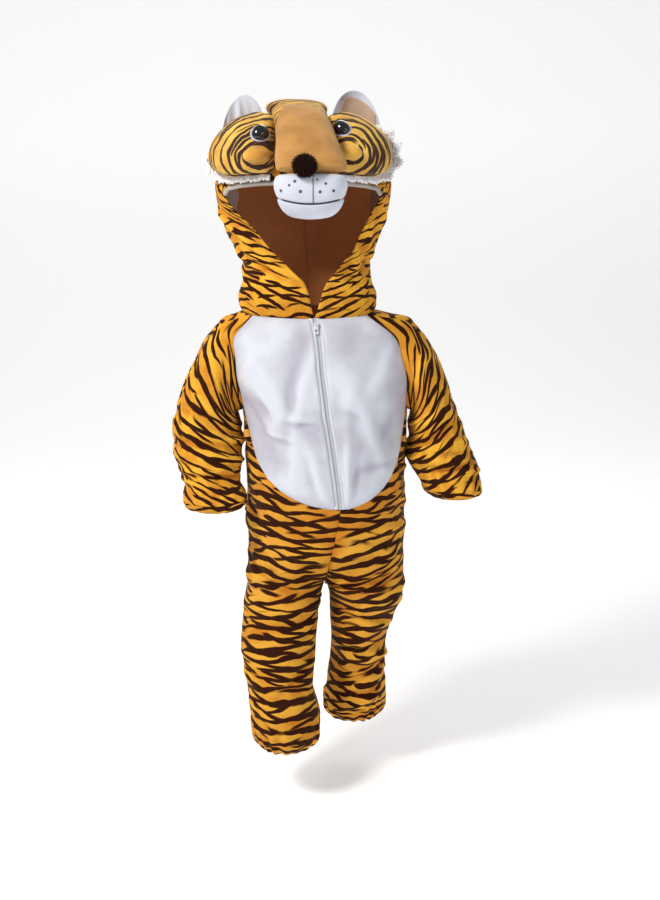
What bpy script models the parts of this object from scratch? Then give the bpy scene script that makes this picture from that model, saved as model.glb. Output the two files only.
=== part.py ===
"""Tiger costume for a child: a hooded one-piece suit of striped plush, worn and filled out.

Metres, +Z up, the front faces -Y. The origin is the middle of the neck seam. Side +1 is the
wearer's left (+X) and side -1 the wearer's right.
"""
import bpy
import math
import numpy as np

COLLECTION = "tiger_costume"

# Cloth and seams
PLUSH = 0.0020
BODY_LEAD = 1.8
TAPE = 0.0012
SEAM_GAP = 0.00016
LAY_GAP = 0.00045

# Levels of the suit, front to back
NECK_RISE = 0.012
RAGLAN_NECK = 0.325
UNDERARM_Z = -0.155
PANEL_TIP_Z = -0.297
HIP_Z = -0.335
CROTCH_Z = -0.445
LEG_END_Z = -0.682
SECTION_POWER = 2.3

# Columns and rows of the cloth
ARM_STEPS = 7
ARM_JUNCTION = 5
PANEL_STEPS = 10
NECK_FRONT_STEPS = 5
NECK_SLEEVE_STEPS = 3
NECK_BACK_STEPS = 5
UPPER_ROWS = 6
SPREAD_POWER = 0.8
CROTCH_ROWS = 5
LEG_ROWS = 10
GATHER_COLUMNS = 2

# Zip, across from its centre line
CHAIN_HALF = 0.0024
TAPE_INNER = 0.0027
TAPE_OUTER = 0.0088
PANEL_EDGE = 0.0091
ZIP_END_LIFT = 0.0006
CHAIN_RAISE = 0.0006

TORSO_COLUMNS = ("z", "centre_x", "half_width", "front", "back", "twist")
TORSO = (
    (0.030, 0.000, 0.094, 0.058, 0.058, 5.0),
    (0.000, 0.001, 0.108, 0.064, 0.064, 4.0),
    (-0.040, 0.012, 0.150, 0.088, 0.082, 2.0),
    (-0.090, 0.022, 0.150, 0.104, 0.092, 0.5),
    (-0.140, 0.027, 0.138, 0.112, 0.094, 1.0),
    (-0.200, 0.029, 0.131, 0.118, 0.090, 3.5),
    (-0.260, 0.029, 0.131, 0.121, 0.088, 6.5),
    (-0.300, 0.029, 0.130, 0.119, 0.090, 8.0),
    (-0.335, 0.029, 0.129, 0.114, 0.096, 6.0),
    (-0.380, 0.029, 0.130, 0.107, 0.101, 3.0),
    (-0.445, 0.028, 0.132, 0.100, 0.098, 0.0),
)
LEG_COLUMNS = ("z", "centre_x", "centre_y", "across", "deep")
LEGS = {
    -1: (
        (-0.445, -0.0378, 0.000, 0.0658, 0.088),
        (-0.460, -0.0420, -0.008, 0.0650, 0.086),
        (-0.500, -0.0470, -0.026, 0.0630, 0.080),
        (-0.541, -0.0495, -0.044, 0.0630, 0.075),
        (-0.580, -0.0475, -0.060, 0.0570, 0.070),
        (-0.615, -0.0445, -0.069, 0.0535, 0.066),
        (-0.650, -0.0385, -0.080, 0.0580, 0.066),
        (-0.682, -0.0370, -0.086, 0.0555, 0.062),
    ),
    1: (
        (-0.445, 0.0938, 0.000, 0.0658, 0.088),
        (-0.460, 0.0960, 0.006, 0.0630, 0.084),
        (-0.491, 0.0920, 0.014, 0.0575, 0.078),
        (-0.530, 0.0870, 0.020, 0.0510, 0.074),
        (-0.564, 0.0850, 0.025, 0.0470, 0.070),
        (-0.600, 0.0830, 0.030, 0.0480, 0.066),
        (-0.641, 0.0815, 0.036, 0.0510, 0.062),
        (-0.682, 0.0790, 0.041, 0.0545, 0.060),
    ),
}

# Each sleeve ring runs from its inner point to its outer point
SLEEVE_COLUMNS = ("inner_x", "inner_z", "outer_x", "outer_z", "centre_y", "deep")
SLEEVES = {
    -1: (
        (-0.1155, -0.158, -0.130, -0.003, -0.002, 0.056),
        (-0.1165, -0.161, -0.147, -0.018, -0.002, 0.060),
        (-0.1155, -0.164, -0.165, -0.040, -0.002, 0.063),
        (-0.1135, -0.167, -0.180, -0.067, -0.002, 0.066),
        (-0.1120, -0.172, -0.195, -0.095, -0.003, 0.066),
        (-0.1105, -0.179, -0.206, -0.122, -0.006, 0.066),
        (-0.1095, -0.189, -0.213, -0.147, -0.010, 0.066),
        (-0.1085, -0.202, -0.2155, -0.172, -0.016, 0.064),
        (-0.1080, -0.217, -0.2155, -0.197, -0.024, 0.062),
        (-0.1080, -0.232, -0.2140, -0.220, -0.033, 0.058),
        (-0.1105, -0.246, -0.2080, -0.240, -0.043, 0.053),
        (-0.1120, -0.2560, -0.2010, -0.2540, -0.052, 0.048),
        (-0.1090, -0.2670, -0.1980, -0.2670, -0.059, 0.045),
        (-0.1010, -0.2780, -0.2000, -0.2800, -0.066, 0.046),
        (-0.0975, -0.2895, -0.1975, -0.2920, -0.072, 0.046),
    ),
    1: (
        (0.1705, -0.158, 0.157, -0.003, 0.000, 0.055),
        (0.1710, -0.161, 0.173, -0.014, 0.000, 0.059),
        (0.1700, -0.164, 0.190, -0.034, 0.000, 0.063),
        (0.1675, -0.167, 0.204, -0.059, 0.002, 0.066),
        (0.1665, -0.172, 0.218, -0.087, 0.002, 0.066),
        (0.1655, -0.179, 0.229, -0.115, 0.001, 0.066),
        (0.1650, -0.189, 0.237, -0.142, -0.001, 0.064),
        (0.1645, -0.202, 0.245, -0.168, -0.004, 0.062),
        (0.1650, -0.216, 0.254, -0.192, -0.008, 0.060),
        (0.1665, -0.230, 0.264, -0.213, -0.012, 0.058),
        (0.1690, -0.243, 0.272, -0.232, -0.016, 0.055),
        (0.1730, -0.253, 0.277, -0.246, -0.020, 0.052),
        (0.1790, -0.262, 0.279, -0.257, -0.024, 0.049),
        (0.1850, -0.271, 0.2815, -0.268, -0.027, 0.047),
        (0.1880, -0.280, 0.2830, -0.279, -0.030, 0.046),
    ),
}

HOOD_COLUMNS = ("z", "centre_x", "half_width", "front", "back", "twist", "opening")
HOOD = (
    (0.000, 0.001, 0.108, 0.064, 0.064, 4.0, 1.0),
    (0.030, 0.000, 0.112, 0.070, 0.074, 5.0, 3.5),
    (0.055, -0.001, 0.103, 0.074, 0.080, 7.0, 8.0),
    (0.080, -0.002, 0.100, 0.078, 0.088, 8.5, 21.0),
    (0.105, -0.004, 0.110, 0.083, 0.098, 8.5, 33.0),
    (0.135, -0.006, 0.124, 0.090, 0.108, 6.0, 39.0),
    (0.165, -0.006, 0.134, 0.097, 0.114, 2.0, 50.0),
    (0.190, -0.006, 0.138, 0.100, 0.116, 0.0, 60.0),
    (0.202, -0.006, 0.139, 0.101, 0.116, 0.0, 54.0),
    (0.2065, -0.006, 0.139, 0.101, 0.116, 0.0, 42.0),
    (0.2095, -0.006, 0.139, 0.101, 0.116, 0.0, 27.0),
    (0.2112, -0.006, 0.139, 0.101, 0.116, 0.0, 12.0),
    (0.212, -0.006, 0.139, 0.101, 0.116, 0.0, 0.0),
)
HOOD_ROWS_Z = (
    0.014, 0.030, 0.048, 0.066, 0.084, 0.105, 0.130, 0.155,
    0.178, 0.193, 0.202, 0.2065, 0.2095, 0.2112, 0.212,
)
DOME_Z = 0.212
DOME_RISE = 0.095
DOME_ANGLES = (16.0, 33.0, 50.0, 67.0, 80.0, 88.5)

# Soft ridges and hollows of the body: side, place round, level, lean, half length, half width, height
FOLD_COLUMNS = ("side", "around", "z", "lean", "half_length", "half_width", "height")
BODY_FOLDS = (
    (-1, 0.10, -0.375, 0.55, 0.060, 0.012, 0.0050),
    (1, 0.10, -0.370, 0.50, 0.060, 0.012, 0.0045),
    (-1, 0.42, -0.330, 0.25, 0.070, 0.012, 0.0045),
    (1, 0.44, -0.345, -0.20, 0.060, 0.013, 0.0050),
    (1, 0.42, -0.475, -0.15, 0.070, 0.016, 0.0060),
    (1, 0.30, -0.520, 0.30, 0.055, 0.011, 0.0040),
    (1, 0.25, -0.572, -0.25, 0.060, 0.011, 0.0050),
    (1, 0.30, -0.618, 0.20, 0.070, 0.011, 0.0050),
    (1, 0.20, -0.655, -0.15, 0.060, 0.010, 0.0040),
    (-1, 0.30, -0.470, 0.25, 0.060, 0.013, 0.0040),
    (-1, 0.22, -0.535, -0.30, 0.060, 0.012, 0.0050),
    (-1, 0.36, -0.590, 0.25, 0.060, 0.011, 0.0050),
    (-1, 0.20, -0.628, -0.15, 0.070, 0.010, 0.0050),
    (-1, 0.34, -0.662, 0.10, 0.070, 0.009, 0.0040),
    (-1, 0.74, -0.300, 0.20, 0.080, 0.014, 0.0055),
    (1, 0.78, -0.320, -0.20, 0.080, 0.014, 0.0050),
    (-1, 0.80, -0.120, 0.45, 0.070, 0.014, 0.0045),
    (1, 0.76, -0.130, -0.40, 0.070, 0.014, 0.0045),
    (-1, 0.75, -0.545, 0.25, 0.070, 0.013, 0.0055),
    (1, 0.72, -0.560, -0.20, 0.070, 0.013, 0.0055),
    (-1, 0.72, -0.625, -0.20, 0.070, 0.011, 0.0050),
    (1, 0.76, -0.640, 0.15, 0.070, 0.011, 0.0050),
    (-1, 0.58, -0.220, 0.60, 0.060, 0.013, 0.0040),
    (1, 0.60, -0.235, -0.60, 0.060, 0.013, 0.0040),
    (-1, 0.31, -0.160, 1.20, 0.055, 0.013, -0.0055),
    (1, 0.13, -0.150, -2.50, 0.110, 0.014, 0.0035),
    (-1, 0.12, -0.170, 2.80, 0.110, 0.014, 0.0030),
)
SLEEVE_FOLD_COLUMNS = ("side", "turn", "row", "lean", "half_length", "half_width", "height")
SLEEVE_FOLDS = (
    (-1, 0.20, 4.0, 1.2, 0.30, 0.9, 0.0030),
    (-1, 0.10, 8.0, -1.0, 0.34, 0.65, 0.0050),
    (-1, 0.25, 10.2, 1.0, 0.32, 0.60, 0.0048),
    (-1, 0.80, 9.0, 0.8, 0.30, 0.70, 0.0045),
    (-1, 0.65, 11.5, -0.9, 0.30, 0.60, 0.0040),
    (1, 0.18, 4.5, -1.2, 0.30, 0.9, 0.0030),
    (1, 0.12, 8.5, 1.1, 0.34, 0.65, 0.0045),
    (1, 0.28, 10.6, -1.0, 0.32, 0.60, 0.0045),
    (1, 0.78, 9.3, -0.8, 0.30, 0.70, 0.0045),
    (1, 0.62, 11.8, 0.9, 0.30, 0.60, 0.0040),
)
BODY_GIRTH = 0.40
FOLD_CLEAR = 0.025
FOLD_FADE = 0.08

# Gathered casings: how far below the cloth each row lies, its width and its waves
CASING_COLUMNS = ("drop", "scale", "wave")
ANKLE_CASING = (
    (0.000, 1.00, 0.0),
    (0.010, 0.93, 0.0014),
    (0.018, 0.82, 0.0022),
    (0.021, 0.76, 0.0018),
)
WRIST_CASING = (
    (0.000, 1.00, 0.0),
    (0.007, 0.93, 0.0016),
    (0.013, 0.81, 0.0024),
    (0.015, 0.72, 0.0018),
)

# Stuffed head: the ridge of crown and snout, back to front
RIDGE_COLUMNS = ("top_y", "top_z", "low_y", "low_z", "half_width")
CROWN = (
    (0.052, 0.3020, 0.050, 0.0, 0.018),
    (0.042, 0.3180, 0.040, 0.0, 0.033),
    (0.018, 0.3310, 0.016, 0.0, 0.044),
    (-0.012, 0.3345, -0.012, 0.0, 0.047),
    (-0.036, 0.3292, -0.033, 0.0, 0.0460),
    (-0.044, 0.3266, -0.040, 0.0, 0.0405),
)
SNOUT = (
    (-0.0445, 0.3265, -0.0405, 0.0, 0.041),
    (-0.080, 0.3190, -0.066, 0.0, 0.0415),
    (-0.115, 0.3050, -0.087, 0.0, 0.0430),
    (-0.148, 0.2850, -0.1060, 0.2440, 0.0460),
    (-0.176, 0.2640, -0.1240, 0.2260, 0.0500),
    (-0.194, 0.2430, -0.1520, 0.2205, 0.0520),
    (-0.197, 0.2310, -0.1800, 0.2200, 0.0490),
)
RIDGE_SIDES = 18

PALETTE = {
    "plush": (0.80, 0.42, 0.09, 0.92),
    "head_plush": (0.85, 0.56, 0.14, 0.88),
    "white_plush": (0.80, 0.81, 0.86, 0.90),
    "tan_felt": (0.58, 0.33, 0.10, 0.95),
    "brown_pompom": (0.04, 0.02, 0.015, 0.95),
    "eye_gloss": (0.006, 0.006, 0.008, 0.12),
    "binding": (0.72, 0.66, 0.58, 0.85),
    "zip_tape": (0.82, 0.83, 0.87, 0.70),
    "zip_white": (0.78, 0.80, 0.84, 0.40),
    "ear_lining": (0.62, 0.47, 0.38, 0.90),
}


def clear_scene():
    for item in list(bpy.data.objects):
        bpy.data.objects.remove(item, do_unlink=True)


def material(name):
    found = bpy.data.materials.get(name)
    if found:
        return found
    red, green, blue, rough = PALETTE[name]
    made = bpy.data.materials.new(name)
    made.use_nodes = True
    shader = made.node_tree.nodes["Principled BSDF"]
    shader.inputs["Base Color"].default_value = (red, green, blue, 1.0)
    shader.inputs["Roughness"].default_value = rough
    shader.inputs["Metallic"].default_value = 0.0
    return made


def smooth_column(table, names, wanted, at, key="z"):
    """A smooth curve through one named column of a table, read at one level."""
    levels = [row[names.index(key)] for row in table]
    values = [row[names.index(wanted)] for row in table]
    if levels[0] > levels[-1]:
        levels.reverse()
        values.reverse()
    at = min(max(at, levels[0]), levels[-1])
    last = len(levels) - 2
    k = 0
    while k < last and at > levels[k + 1]:
        k += 1
    width = levels[k + 1] - levels[k]
    t = (at - levels[k]) / width

    def slope(j):
        if j == 0 or j == len(levels) - 1:
            a, b = max(j - 1, 0), min(j + 1, len(levels) - 1)
            return (values[b] - values[a]) / (levels[b] - levels[a])
        left = (values[j] - values[j - 1]) / (levels[j] - levels[j - 1])
        right = (values[j + 1] - values[j]) / (levels[j + 1] - levels[j])
        if left * right <= 0.0:
            return 0.0
        return 2.0 * left * right / (left + right)

    h00 = 2 * t ** 3 - 3 * t ** 2 + 1
    h10 = t ** 3 - 2 * t ** 2 + t
    h01 = -2 * t ** 3 + 3 * t ** 2
    h11 = t ** 3 - t ** 2
    ends = h00 * values[k] + h01 * values[k + 1]
    return ends + width * (h10 * slope(k) + h11 * slope(k + 1))


def signed_power(value, power):
    return math.copysign(abs(value) ** power, value)


def unit(vector):
    return vector / max(float(np.linalg.norm(vector)), 1e-12)


def section_point(angle, centre_x, half_width, front, back):
    """A point of a rounded section; the angle runs from the front over the wearer's left."""
    across = signed_power(math.sin(angle), 2.0 / SECTION_POWER)
    along = signed_power(math.cos(angle), 2.0 / SECTION_POWER)
    depth = front if along > 0 else back
    return np.array((centre_x + half_width * across, -depth * along))


def half_angle(side, around, start):
    """The angle at a fraction of the way from the centre front to the centre back."""
    return start + around * (math.pi - start) if side > 0 else start - around * (math.pi + start)


def torso_value(wanted, z):
    return smooth_column(TORSO, TORSO_COLUMNS, wanted, z)


def body_base(side, around, z):
    """The suit without its folds: a torso section that parts into two legs at the crotch."""
    leg = LEGS[side]
    if z <= CROTCH_Z:
        read = [smooth_column(leg, LEG_COLUMNS, name, z) for name in LEG_COLUMNS[1:]]
        centre_x, centre_y, across, deep = read
        turn = 2.0 * math.pi * around
        x = centre_x - side * across * math.cos(turn)
        return np.array((x, centre_y - deep * math.sin(turn), z))
    centre = torso_value("centre_x", z)
    half = torso_value("half_width", z)
    angle = half_angle(side, around, math.radians(torso_value("twist", z)))
    plan = section_point(angle, centre, half, torso_value("front", z), torso_value("back", z))
    if z < HIP_Z:
        fall = (HIP_Z - z) / (HIP_Z - CROTCH_Z)
        keep = math.sqrt(max(1.0 - fall * fall, 0.0))
        turn = 2.0 * math.pi * around
        deep = 0.088 / 0.099 * 0.5 * (torso_value("front", z) + torso_value("back", z))
        ring = np.array((centre + side * half * 0.5 * (1.0 - math.cos(turn)), -deep * math.sin(turn)))
        plan = keep * plan + (1.0 - keep) * ring
    return np.array((plan[0], plan[1], z))


def surface_normal(surface, u, v, outward):
    step = 1e-4
    along_u = surface(u + step, v) - surface(u - step, v)
    along_v = surface(u, v + step) - surface(u, v - step)
    found = unit(np.cross(along_u, along_v))
    return found if float(np.dot(found, outward)) > 0 else -found


def body_normal(side, around, z):
    if z <= CROTCH_Z + 0.003:
        z = min(z, CROTCH_Z - 0.003) if z <= CROTCH_Z else CROTCH_Z + 0.003
    around = min(max(around, 0.002), 0.998)
    here = body_base(side, around, z)
    if z < CROTCH_Z:
        leg_x = smooth_column(LEGS[side], LEG_COLUMNS, "centre_x", z)
        leg_y = smooth_column(LEGS[side], LEG_COLUMNS, "centre_y", z)
        outward = here - np.array((leg_x, leg_y, z))
    else:
        outward = here - np.array((torso_value("centre_x", z), 0.0, z))
        if z < HIP_Z:
            outward = here - np.array((torso_value("centre_x", z) + side * 0.02, 0.0, z))
    return surface_normal(lambda u, v: body_base(side, u, v), around, z, outward)


def fold_height(side, around, z):
    """The height of the large folds; they die out at the zip, the centre seams and the inseam."""
    total = 0.0
    from_seam = min(max((min(around, 1.0 - around) - FOLD_CLEAR) / FOLD_FADE, 0.0), 1.0)
    if from_seam == 0.0:
        return total
    for row in BODY_FOLDS:
        fold = dict(zip(FOLD_COLUMNS, row))
        if fold["side"] != side:
            continue
        run = (around - fold["around"]) * BODY_GIRTH
        rise = z - fold["z"]
        length = math.hypot(1.0, fold["lean"])
        along = (run + rise * fold["lean"]) / length
        off = (rise - run * fold["lean"]) / length
        reach = (along / fold["half_length"]) ** 2 + (off / fold["half_width"]) ** 2
        total += fold["height"] * math.exp(-reach)
    return total * from_seam * from_seam * (3.0 - 2.0 * from_seam)


def body_point(side, around, z, edge=1.0):
    """A cloth point and the way out of the cloth there."""
    normal = body_normal(side, around, z)
    return body_base(side, around, z) + normal * fold_height(side, around, z) * edge, normal


def neck_z(around):
    return NECK_RISE * around


def armhole(step, back):
    """A point of the raglan seam, from the neck (0) to the underarm, on the front or the back."""
    turn = 0.5 * math.pi * step / ARM_STEPS
    around = 0.5 - (0.5 - RAGLAN_NECK) * math.cos(turn) ** 0.7 if step < ARM_STEPS else 0.5
    if back:
        around = 1.0 - around
    top = neck_z(1.0 - RAGLAN_NECK if back else RAGLAN_NECK)
    return around, top + (UNDERARM_Z - top) * math.sin(turn)


def panel_curve(step):
    """A point of the white panel's lower edge, from its tip (0) to the armhole."""
    turn = 0.5 * math.pi * step / PANEL_STEPS
    end_around, end_z = armhole(ARM_JUNCTION, False)
    return end_around * math.sin(turn) ** 1.3, end_z + (PANEL_TIP_Z - end_z) * math.cos(turn)


def centre_front_x(z):
    angle = math.radians(torso_value("twist", z))
    across = signed_power(math.sin(angle), 2.0 / SECTION_POWER)
    return torso_value("centre_x", z) + torso_value("half_width", z) * across


def zip_place(offset, z):
    """The side and the way round of a point that lies a distance across from the zip's line."""
    side = 1 if offset > 0 else -1
    half = torso_value("half_width", z)
    ratio = (centre_front_x(z) + offset - torso_value("centre_x", z)) / half
    angle = math.asin(signed_power(ratio, SECTION_POWER / 2.0))
    start = math.radians(torso_value("twist", z))
    if side > 0:
        return side, (angle - start) / (math.pi - start)
    return side, (start - angle) / (math.pi + start)


def sleeve_ring(side, row):
    """One ring of the sleeve: it starts at the front end of the neck edge and runs down the front seam."""
    count = 2 * ARM_STEPS + NECK_SLEEVE_STEPS
    values = dict(zip(SLEEVE_COLUMNS, SLEEVES[side][row - 1]))
    inner = np.array((values["inner_x"], 0.0, values["inner_z"]))
    outer = np.array((values["outer_x"], 0.0, values["outer_z"]))
    centre = 0.5 * (inner + outer) + np.array((0.0, values["centre_y"], 0.0))
    across = 0.5 * (outer - inner)
    points = []
    for k in range(count):
        turn = ring_turn(k)
        fold = 0.0
        for fold_row in SLEEVE_FOLDS:
            fold_at = dict(zip(SLEEVE_FOLD_COLUMNS, fold_row))
            if fold_at["side"] != side:
                continue
            gap = (turn / (2 * math.pi) - fold_at["turn"] + 0.5) % 1.0 - 0.5
            rise = row - fold_at["row"] - fold_at["lean"] * gap * 4.0
            reach = (gap / fold_at["half_length"]) ** 2 + (rise / fold_at["half_width"]) ** 2
            fold += fold_at["height"] * math.exp(-reach)
        away = across * math.cos(turn) + np.array((0.0, -values["deep"] * math.sin(turn), 0.0))
        points.append(centre + away + unit(away) * fold)
    return points


def ring_turn(k):
    """The angle of ring column k: 0 is the outer line of the arm, a quarter turn its front."""
    shoulder = math.radians(24.0)
    if k <= ARM_STEPS:
        return shoulder + (math.pi - shoulder) * k / ARM_STEPS
    if k <= 2 * ARM_STEPS:
        return math.pi + (math.pi - shoulder) * (k - ARM_STEPS) / ARM_STEPS
    part = (k - 2 * ARM_STEPS) / NECK_SLEEVE_STEPS
    return 2 * math.pi - shoulder + 2.0 * shoulder * part


def sleeve_seam(side):
    """The places of the sleeve's first ring on the body: raglan front, raglan back and neck edge."""
    places = [armhole(k, False) for k in range(ARM_STEPS + 1)]
    places += [armhole(k, True) for k in range(ARM_STEPS - 1, -1, -1)]
    for k in range(1, NECK_SLEEVE_STEPS):
        around = 1.0 - RAGLAN_NECK + (2 * RAGLAN_NECK - 1.0) * k / NECK_SLEEVE_STEPS
        places.append((around, neck_z(around)))
    return places


def grid_normals(grid, closed):
    rows, columns = grid.shape[:2]
    normals = np.zeros_like(grid)
    for i in range(rows):
        for j in range(columns):
            above, below = grid[max(i - 1, 0), j], grid[min(i + 1, rows - 1), j]
            before = grid[i, (j - 1) % columns] if closed else grid[i, max(j - 1, 0)]
            after = grid[i, (j + 1) % columns] if closed else grid[i, min(j + 1, columns - 1)]
            normals[i, j] = unit(np.cross(after - before, below - above))
    return normals


def sleeve_grid(side):
    """Sleeve points and normals; its first ring is the armhole itself."""
    seam = [body_point(side, around, z, 0.0)[0] for around, z in sleeve_seam(side)]
    rows = [seam] + [sleeve_ring(side, row) for row in range(1, len(SLEEVES[side]) + 1)]
    grid = np.array(rows)
    normals = grid_normals(grid, True)
    middle = grid[8].mean(axis=0)
    if float(np.dot(normals[8, 3], grid[8, 3] - middle)) < 0:
        normals = -normals
    return grid, normals


def hood_value(wanted, z):
    return smooth_column(HOOD, HOOD_COLUMNS, wanted, z)


def hood_base(side, around, level):
    """A hood point. Above the dome's foot the level runs on as an angle along the dome."""
    foot = min(level, DOME_Z)
    climb = max(level - DOME_Z, 0.0) / DOME_RISE * 0.5 * math.pi
    shrink = max(math.cos(climb), 0.0)
    start = math.radians(hood_value("twist", foot))
    open_half = math.radians(hood_value("opening", foot)) if climb == 0.0 else 0.0
    angle = half_angle(side, around, start + side * open_half)
    plan = section_point(angle, 0.0, *hood_plan(foot))
    x = hood_value("centre_x", foot) + plan[0] * shrink
    return np.array((x, plan[1] * shrink, foot + DOME_RISE * math.sin(climb)))


def hood_plan(foot):
    return [hood_value(name, foot) for name in ("half_width", "front", "back")]


def dome_point(turn, level):
    """A hood point by its angle from the front, over the dome and just below it."""
    foot = min(level, DOME_Z)
    climb = max(level - DOME_Z, 0.0) / DOME_RISE * 0.5 * math.pi
    plan = section_point(turn, 0.0, *hood_plan(foot))
    shrink = math.cos(climb)
    x = hood_value("centre_x", foot) + plan[0] * shrink
    return np.array((x, plan[1] * shrink, foot + DOME_RISE * math.sin(climb)))


def neck_places():
    """The places round the neck seam of one side, from the centre front to the centre back."""
    front = [RAGLAN_NECK * k / NECK_FRONT_STEPS for k in range(NECK_FRONT_STEPS)]
    wide = 1.0 - 2.0 * RAGLAN_NECK
    shoulder = [RAGLAN_NECK + wide * k / NECK_SLEEVE_STEPS for k in range(NECK_SLEEVE_STEPS)]
    back = [1.0 - RAGLAN_NECK + RAGLAN_NECK * k / NECK_BACK_STEPS for k in range(NECK_BACK_STEPS + 1)]
    return front + shoulder + back


def front_neck_place(side, step):
    """A place of the belly panel's neck edge, from the zip to the raglan seam."""
    if step == 0:
        offset = side * PANEL_EDGE
        return zip_place(offset, neck_z(0.0))[1]
    return RAGLAN_NECK * step / NECK_FRONT_STEPS


def hood_levels():
    dome = [DOME_Z + DOME_RISE * angle / 90.0 for angle in DOME_ANGLES]
    return list(HOOD_ROWS_Z) + dome


def hood_grid(side):
    places = neck_places()
    bottom = [body_point(side, around, neck_z(around), 0.0)[0] for around in places]
    rows = [bottom]
    even = [k / (len(places) - 1) for k in range(len(places))]
    for number, level in enumerate(hood_levels()):
        mix = min((number + 1) / 6.0, 1.0)
        row = []
        for k, around in enumerate(places):
            row.append(hood_base(side, around * (1 - mix) + even[k] * mix, level))
        rows.append(row)
    grid = np.array(rows)
    normals = np.zeros_like(grid)
    for i, level in enumerate([0.001] + hood_levels()):
        for j in range(len(places)):
            here = grid[i, j]
            rise = max(level - DOME_Z, 0.0) / DOME_RISE
            turn = math.atan2(here[0] - hood_value("centre_x", min(level, DOME_Z)), -here[1])
            normals[i, j] = hood_normal(turn, level) if rise < 0.9 else np.array((0.0, 0.0, 1.0))
    return grid, normals


def hood_normal(turn, level):
    """The way out of the hood at a plan angle; the plan angle is first turned into its section angle."""
    foot = min(level, DOME_Z)
    half, front, back = hood_plan(foot)
    depth = front if math.cos(turn) > 0 else back
    across = signed_power(math.sin(turn) / half, SECTION_POWER / 2.0)
    along = signed_power(math.cos(turn) / depth, SECTION_POWER / 2.0)
    angle = math.atan2(across, along)
    here = dome_point(angle, level)
    step = 2e-3
    low, high = dome_point(angle, level - step), dome_point(angle, level + step)
    left, right = dome_point(angle - step, level), dome_point(angle + step, level)
    found = unit(np.cross(right - left, high - low))
    outward = here - np.array((hood_value("centre_x", foot), 0.0, foot - 0.05))
    return found if float(np.dot(found, outward)) > 0 else -found


def seam_normals(side):
    """Shared ways out along the neck and raglan seams, half way between the two cloths."""
    shared = {}
    sleeve_points, sleeve_out = sleeve_grid(side)
    hood_points, hood_out = hood_grid(side)
    hood_at = {round(around, 6): hood_out[0, k] for k, around in enumerate(neck_places())}
    for k, (around, z) in enumerate(sleeve_seam(side)):
        on_neck = abs(z - neck_z(around)) < 1e-9
        parts = [sleeve_out[0, k]]
        if k <= 2 * ARM_STEPS:
            parts.append(BODY_LEAD * body_normal(side, around, z))
        if on_neck:
            parts.append(hood_at[round(around, 6)])
        shared[place_key(around, z)] = unit(sum(parts))
    for around in neck_places():
        key = place_key(around, neck_z(around))
        if key not in shared:
            shared[key] = unit(hood_at[round(around, 6)] + body_normal(side, around, neck_z(around)))
    return shared


def place_key(around, z):
    return round(around, 6), round(z, 6)


def pull_edges(grid, edges, closed):
    """Moves the named edges a little into the piece, so that two cloths keep their seam gap."""
    rows, columns = grid.shape[:2]
    moved = np.zeros_like(grid)

    def pull(i, j, inner, before, after):
        tangent = unit(grid[after] - grid[before])
        into = grid[inner] - grid[i, j]
        moved[i, j] += SEAM_GAP * unit(into - tangent * float(np.dot(into, tangent)))

    for j in range(columns):
        before = (j - 1) % columns if closed else max(j - 1, 0)
        after = (j + 1) % columns if closed else min(j + 1, columns - 1)
        if "top" in edges:
            pull(0, j, (1, j), (0, before), (0, after))
        if "bottom" in edges:
            pull(rows - 1, j, (rows - 2, j), (rows - 1, before), (rows - 1, after))
    for i in range(rows):
        up, down = max(i - 1, 0), min(i + 1, rows - 1)
        if "left" in edges:
            pull(i, 0, (i, 1), (up, 0), (down, 0))
        if "right" in edges:
            pull(i, columns - 1, (i, columns - 2), (up, columns - 1), (down, columns - 1))
    return moved


# Two cloths that share a seam split its rim the same way, by this direction
RIM_DIRECTION = np.array((0.37, 0.61, 0.70))


def solid_between(name, outer, inner, finish, closed=False):
    """One closed body between two sheets of points; the first sheet faces out."""
    rows, columns = outer.shape[:2]
    count = rows * columns
    points = [tuple(p) for p in outer.reshape(-1, 3)] + [tuple(p) for p in inner.reshape(-1, 3)]
    spans = columns if closed else columns - 1
    faces = []
    for i in range(rows - 1):
        for j in range(spans):
            a, b = i * columns + j, i * columns + (j + 1) % columns
            c, d = b + columns, a + columns
            first = np.linalg.norm(outer[i, j] - outer[i + 1, (j + 1) % columns])
            second = np.linalg.norm(outer[i, (j + 1) % columns] - outer[i + 1, j])
            halves = ((a, b, c), (a, c, d)) if first <= second else ((a, b, d), (b, c, d))
            for face in halves:
                faces.append(face)
                faces.append(tuple(count + k for k in reversed(face)))
    rim = []
    for j in range(spans):
        k = (j + 1) % columns
        rim.append((k, j))
        rim.append(((rows - 1) * columns + j, (rows - 1) * columns + k))
    if not closed:
        for i in range(rows - 1):
            rim.append((i * columns, (i + 1) * columns))
            rim.append(((i + 1) * columns + columns - 1, i * columns + columns - 1))
    flat = outer.reshape(-1, 3)
    for a, b in rim:
        if float(np.dot(flat[b] - flat[a], RIM_DIRECTION)) > 0:
            faces.append((a, b, count + b))
            faces.append((a, count + b, count + a))
        else:
            faces.append((a, b, count + a))
            faces.append((b, count + b, count + a))
    return add_mesh(name, points, faces, finish)


def enclosed(points, faces):
    """The signed volume inside a closed surface of triangles: it is negative when they face in."""
    corners = np.array(points)[np.array(faces)]
    return float(np.sum(corners[:, 0] * np.cross(corners[:, 1], corners[:, 2]))) / 6.0


def add_mesh(name, points, faces, finish):
    if enclosed(points, faces) < 0:
        faces = [tuple(reversed(face)) for face in faces]
    mesh = bpy.data.meshes.new(name)
    mesh.from_pydata(points, [], faces)
    mesh.validate()
    made = bpy.data.objects.new(name, mesh)
    bpy.data.collections[COLLECTION].objects.link(made)
    made.data.materials.append(material(finish))
    made.data.shade_smooth()
    return made


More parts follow.
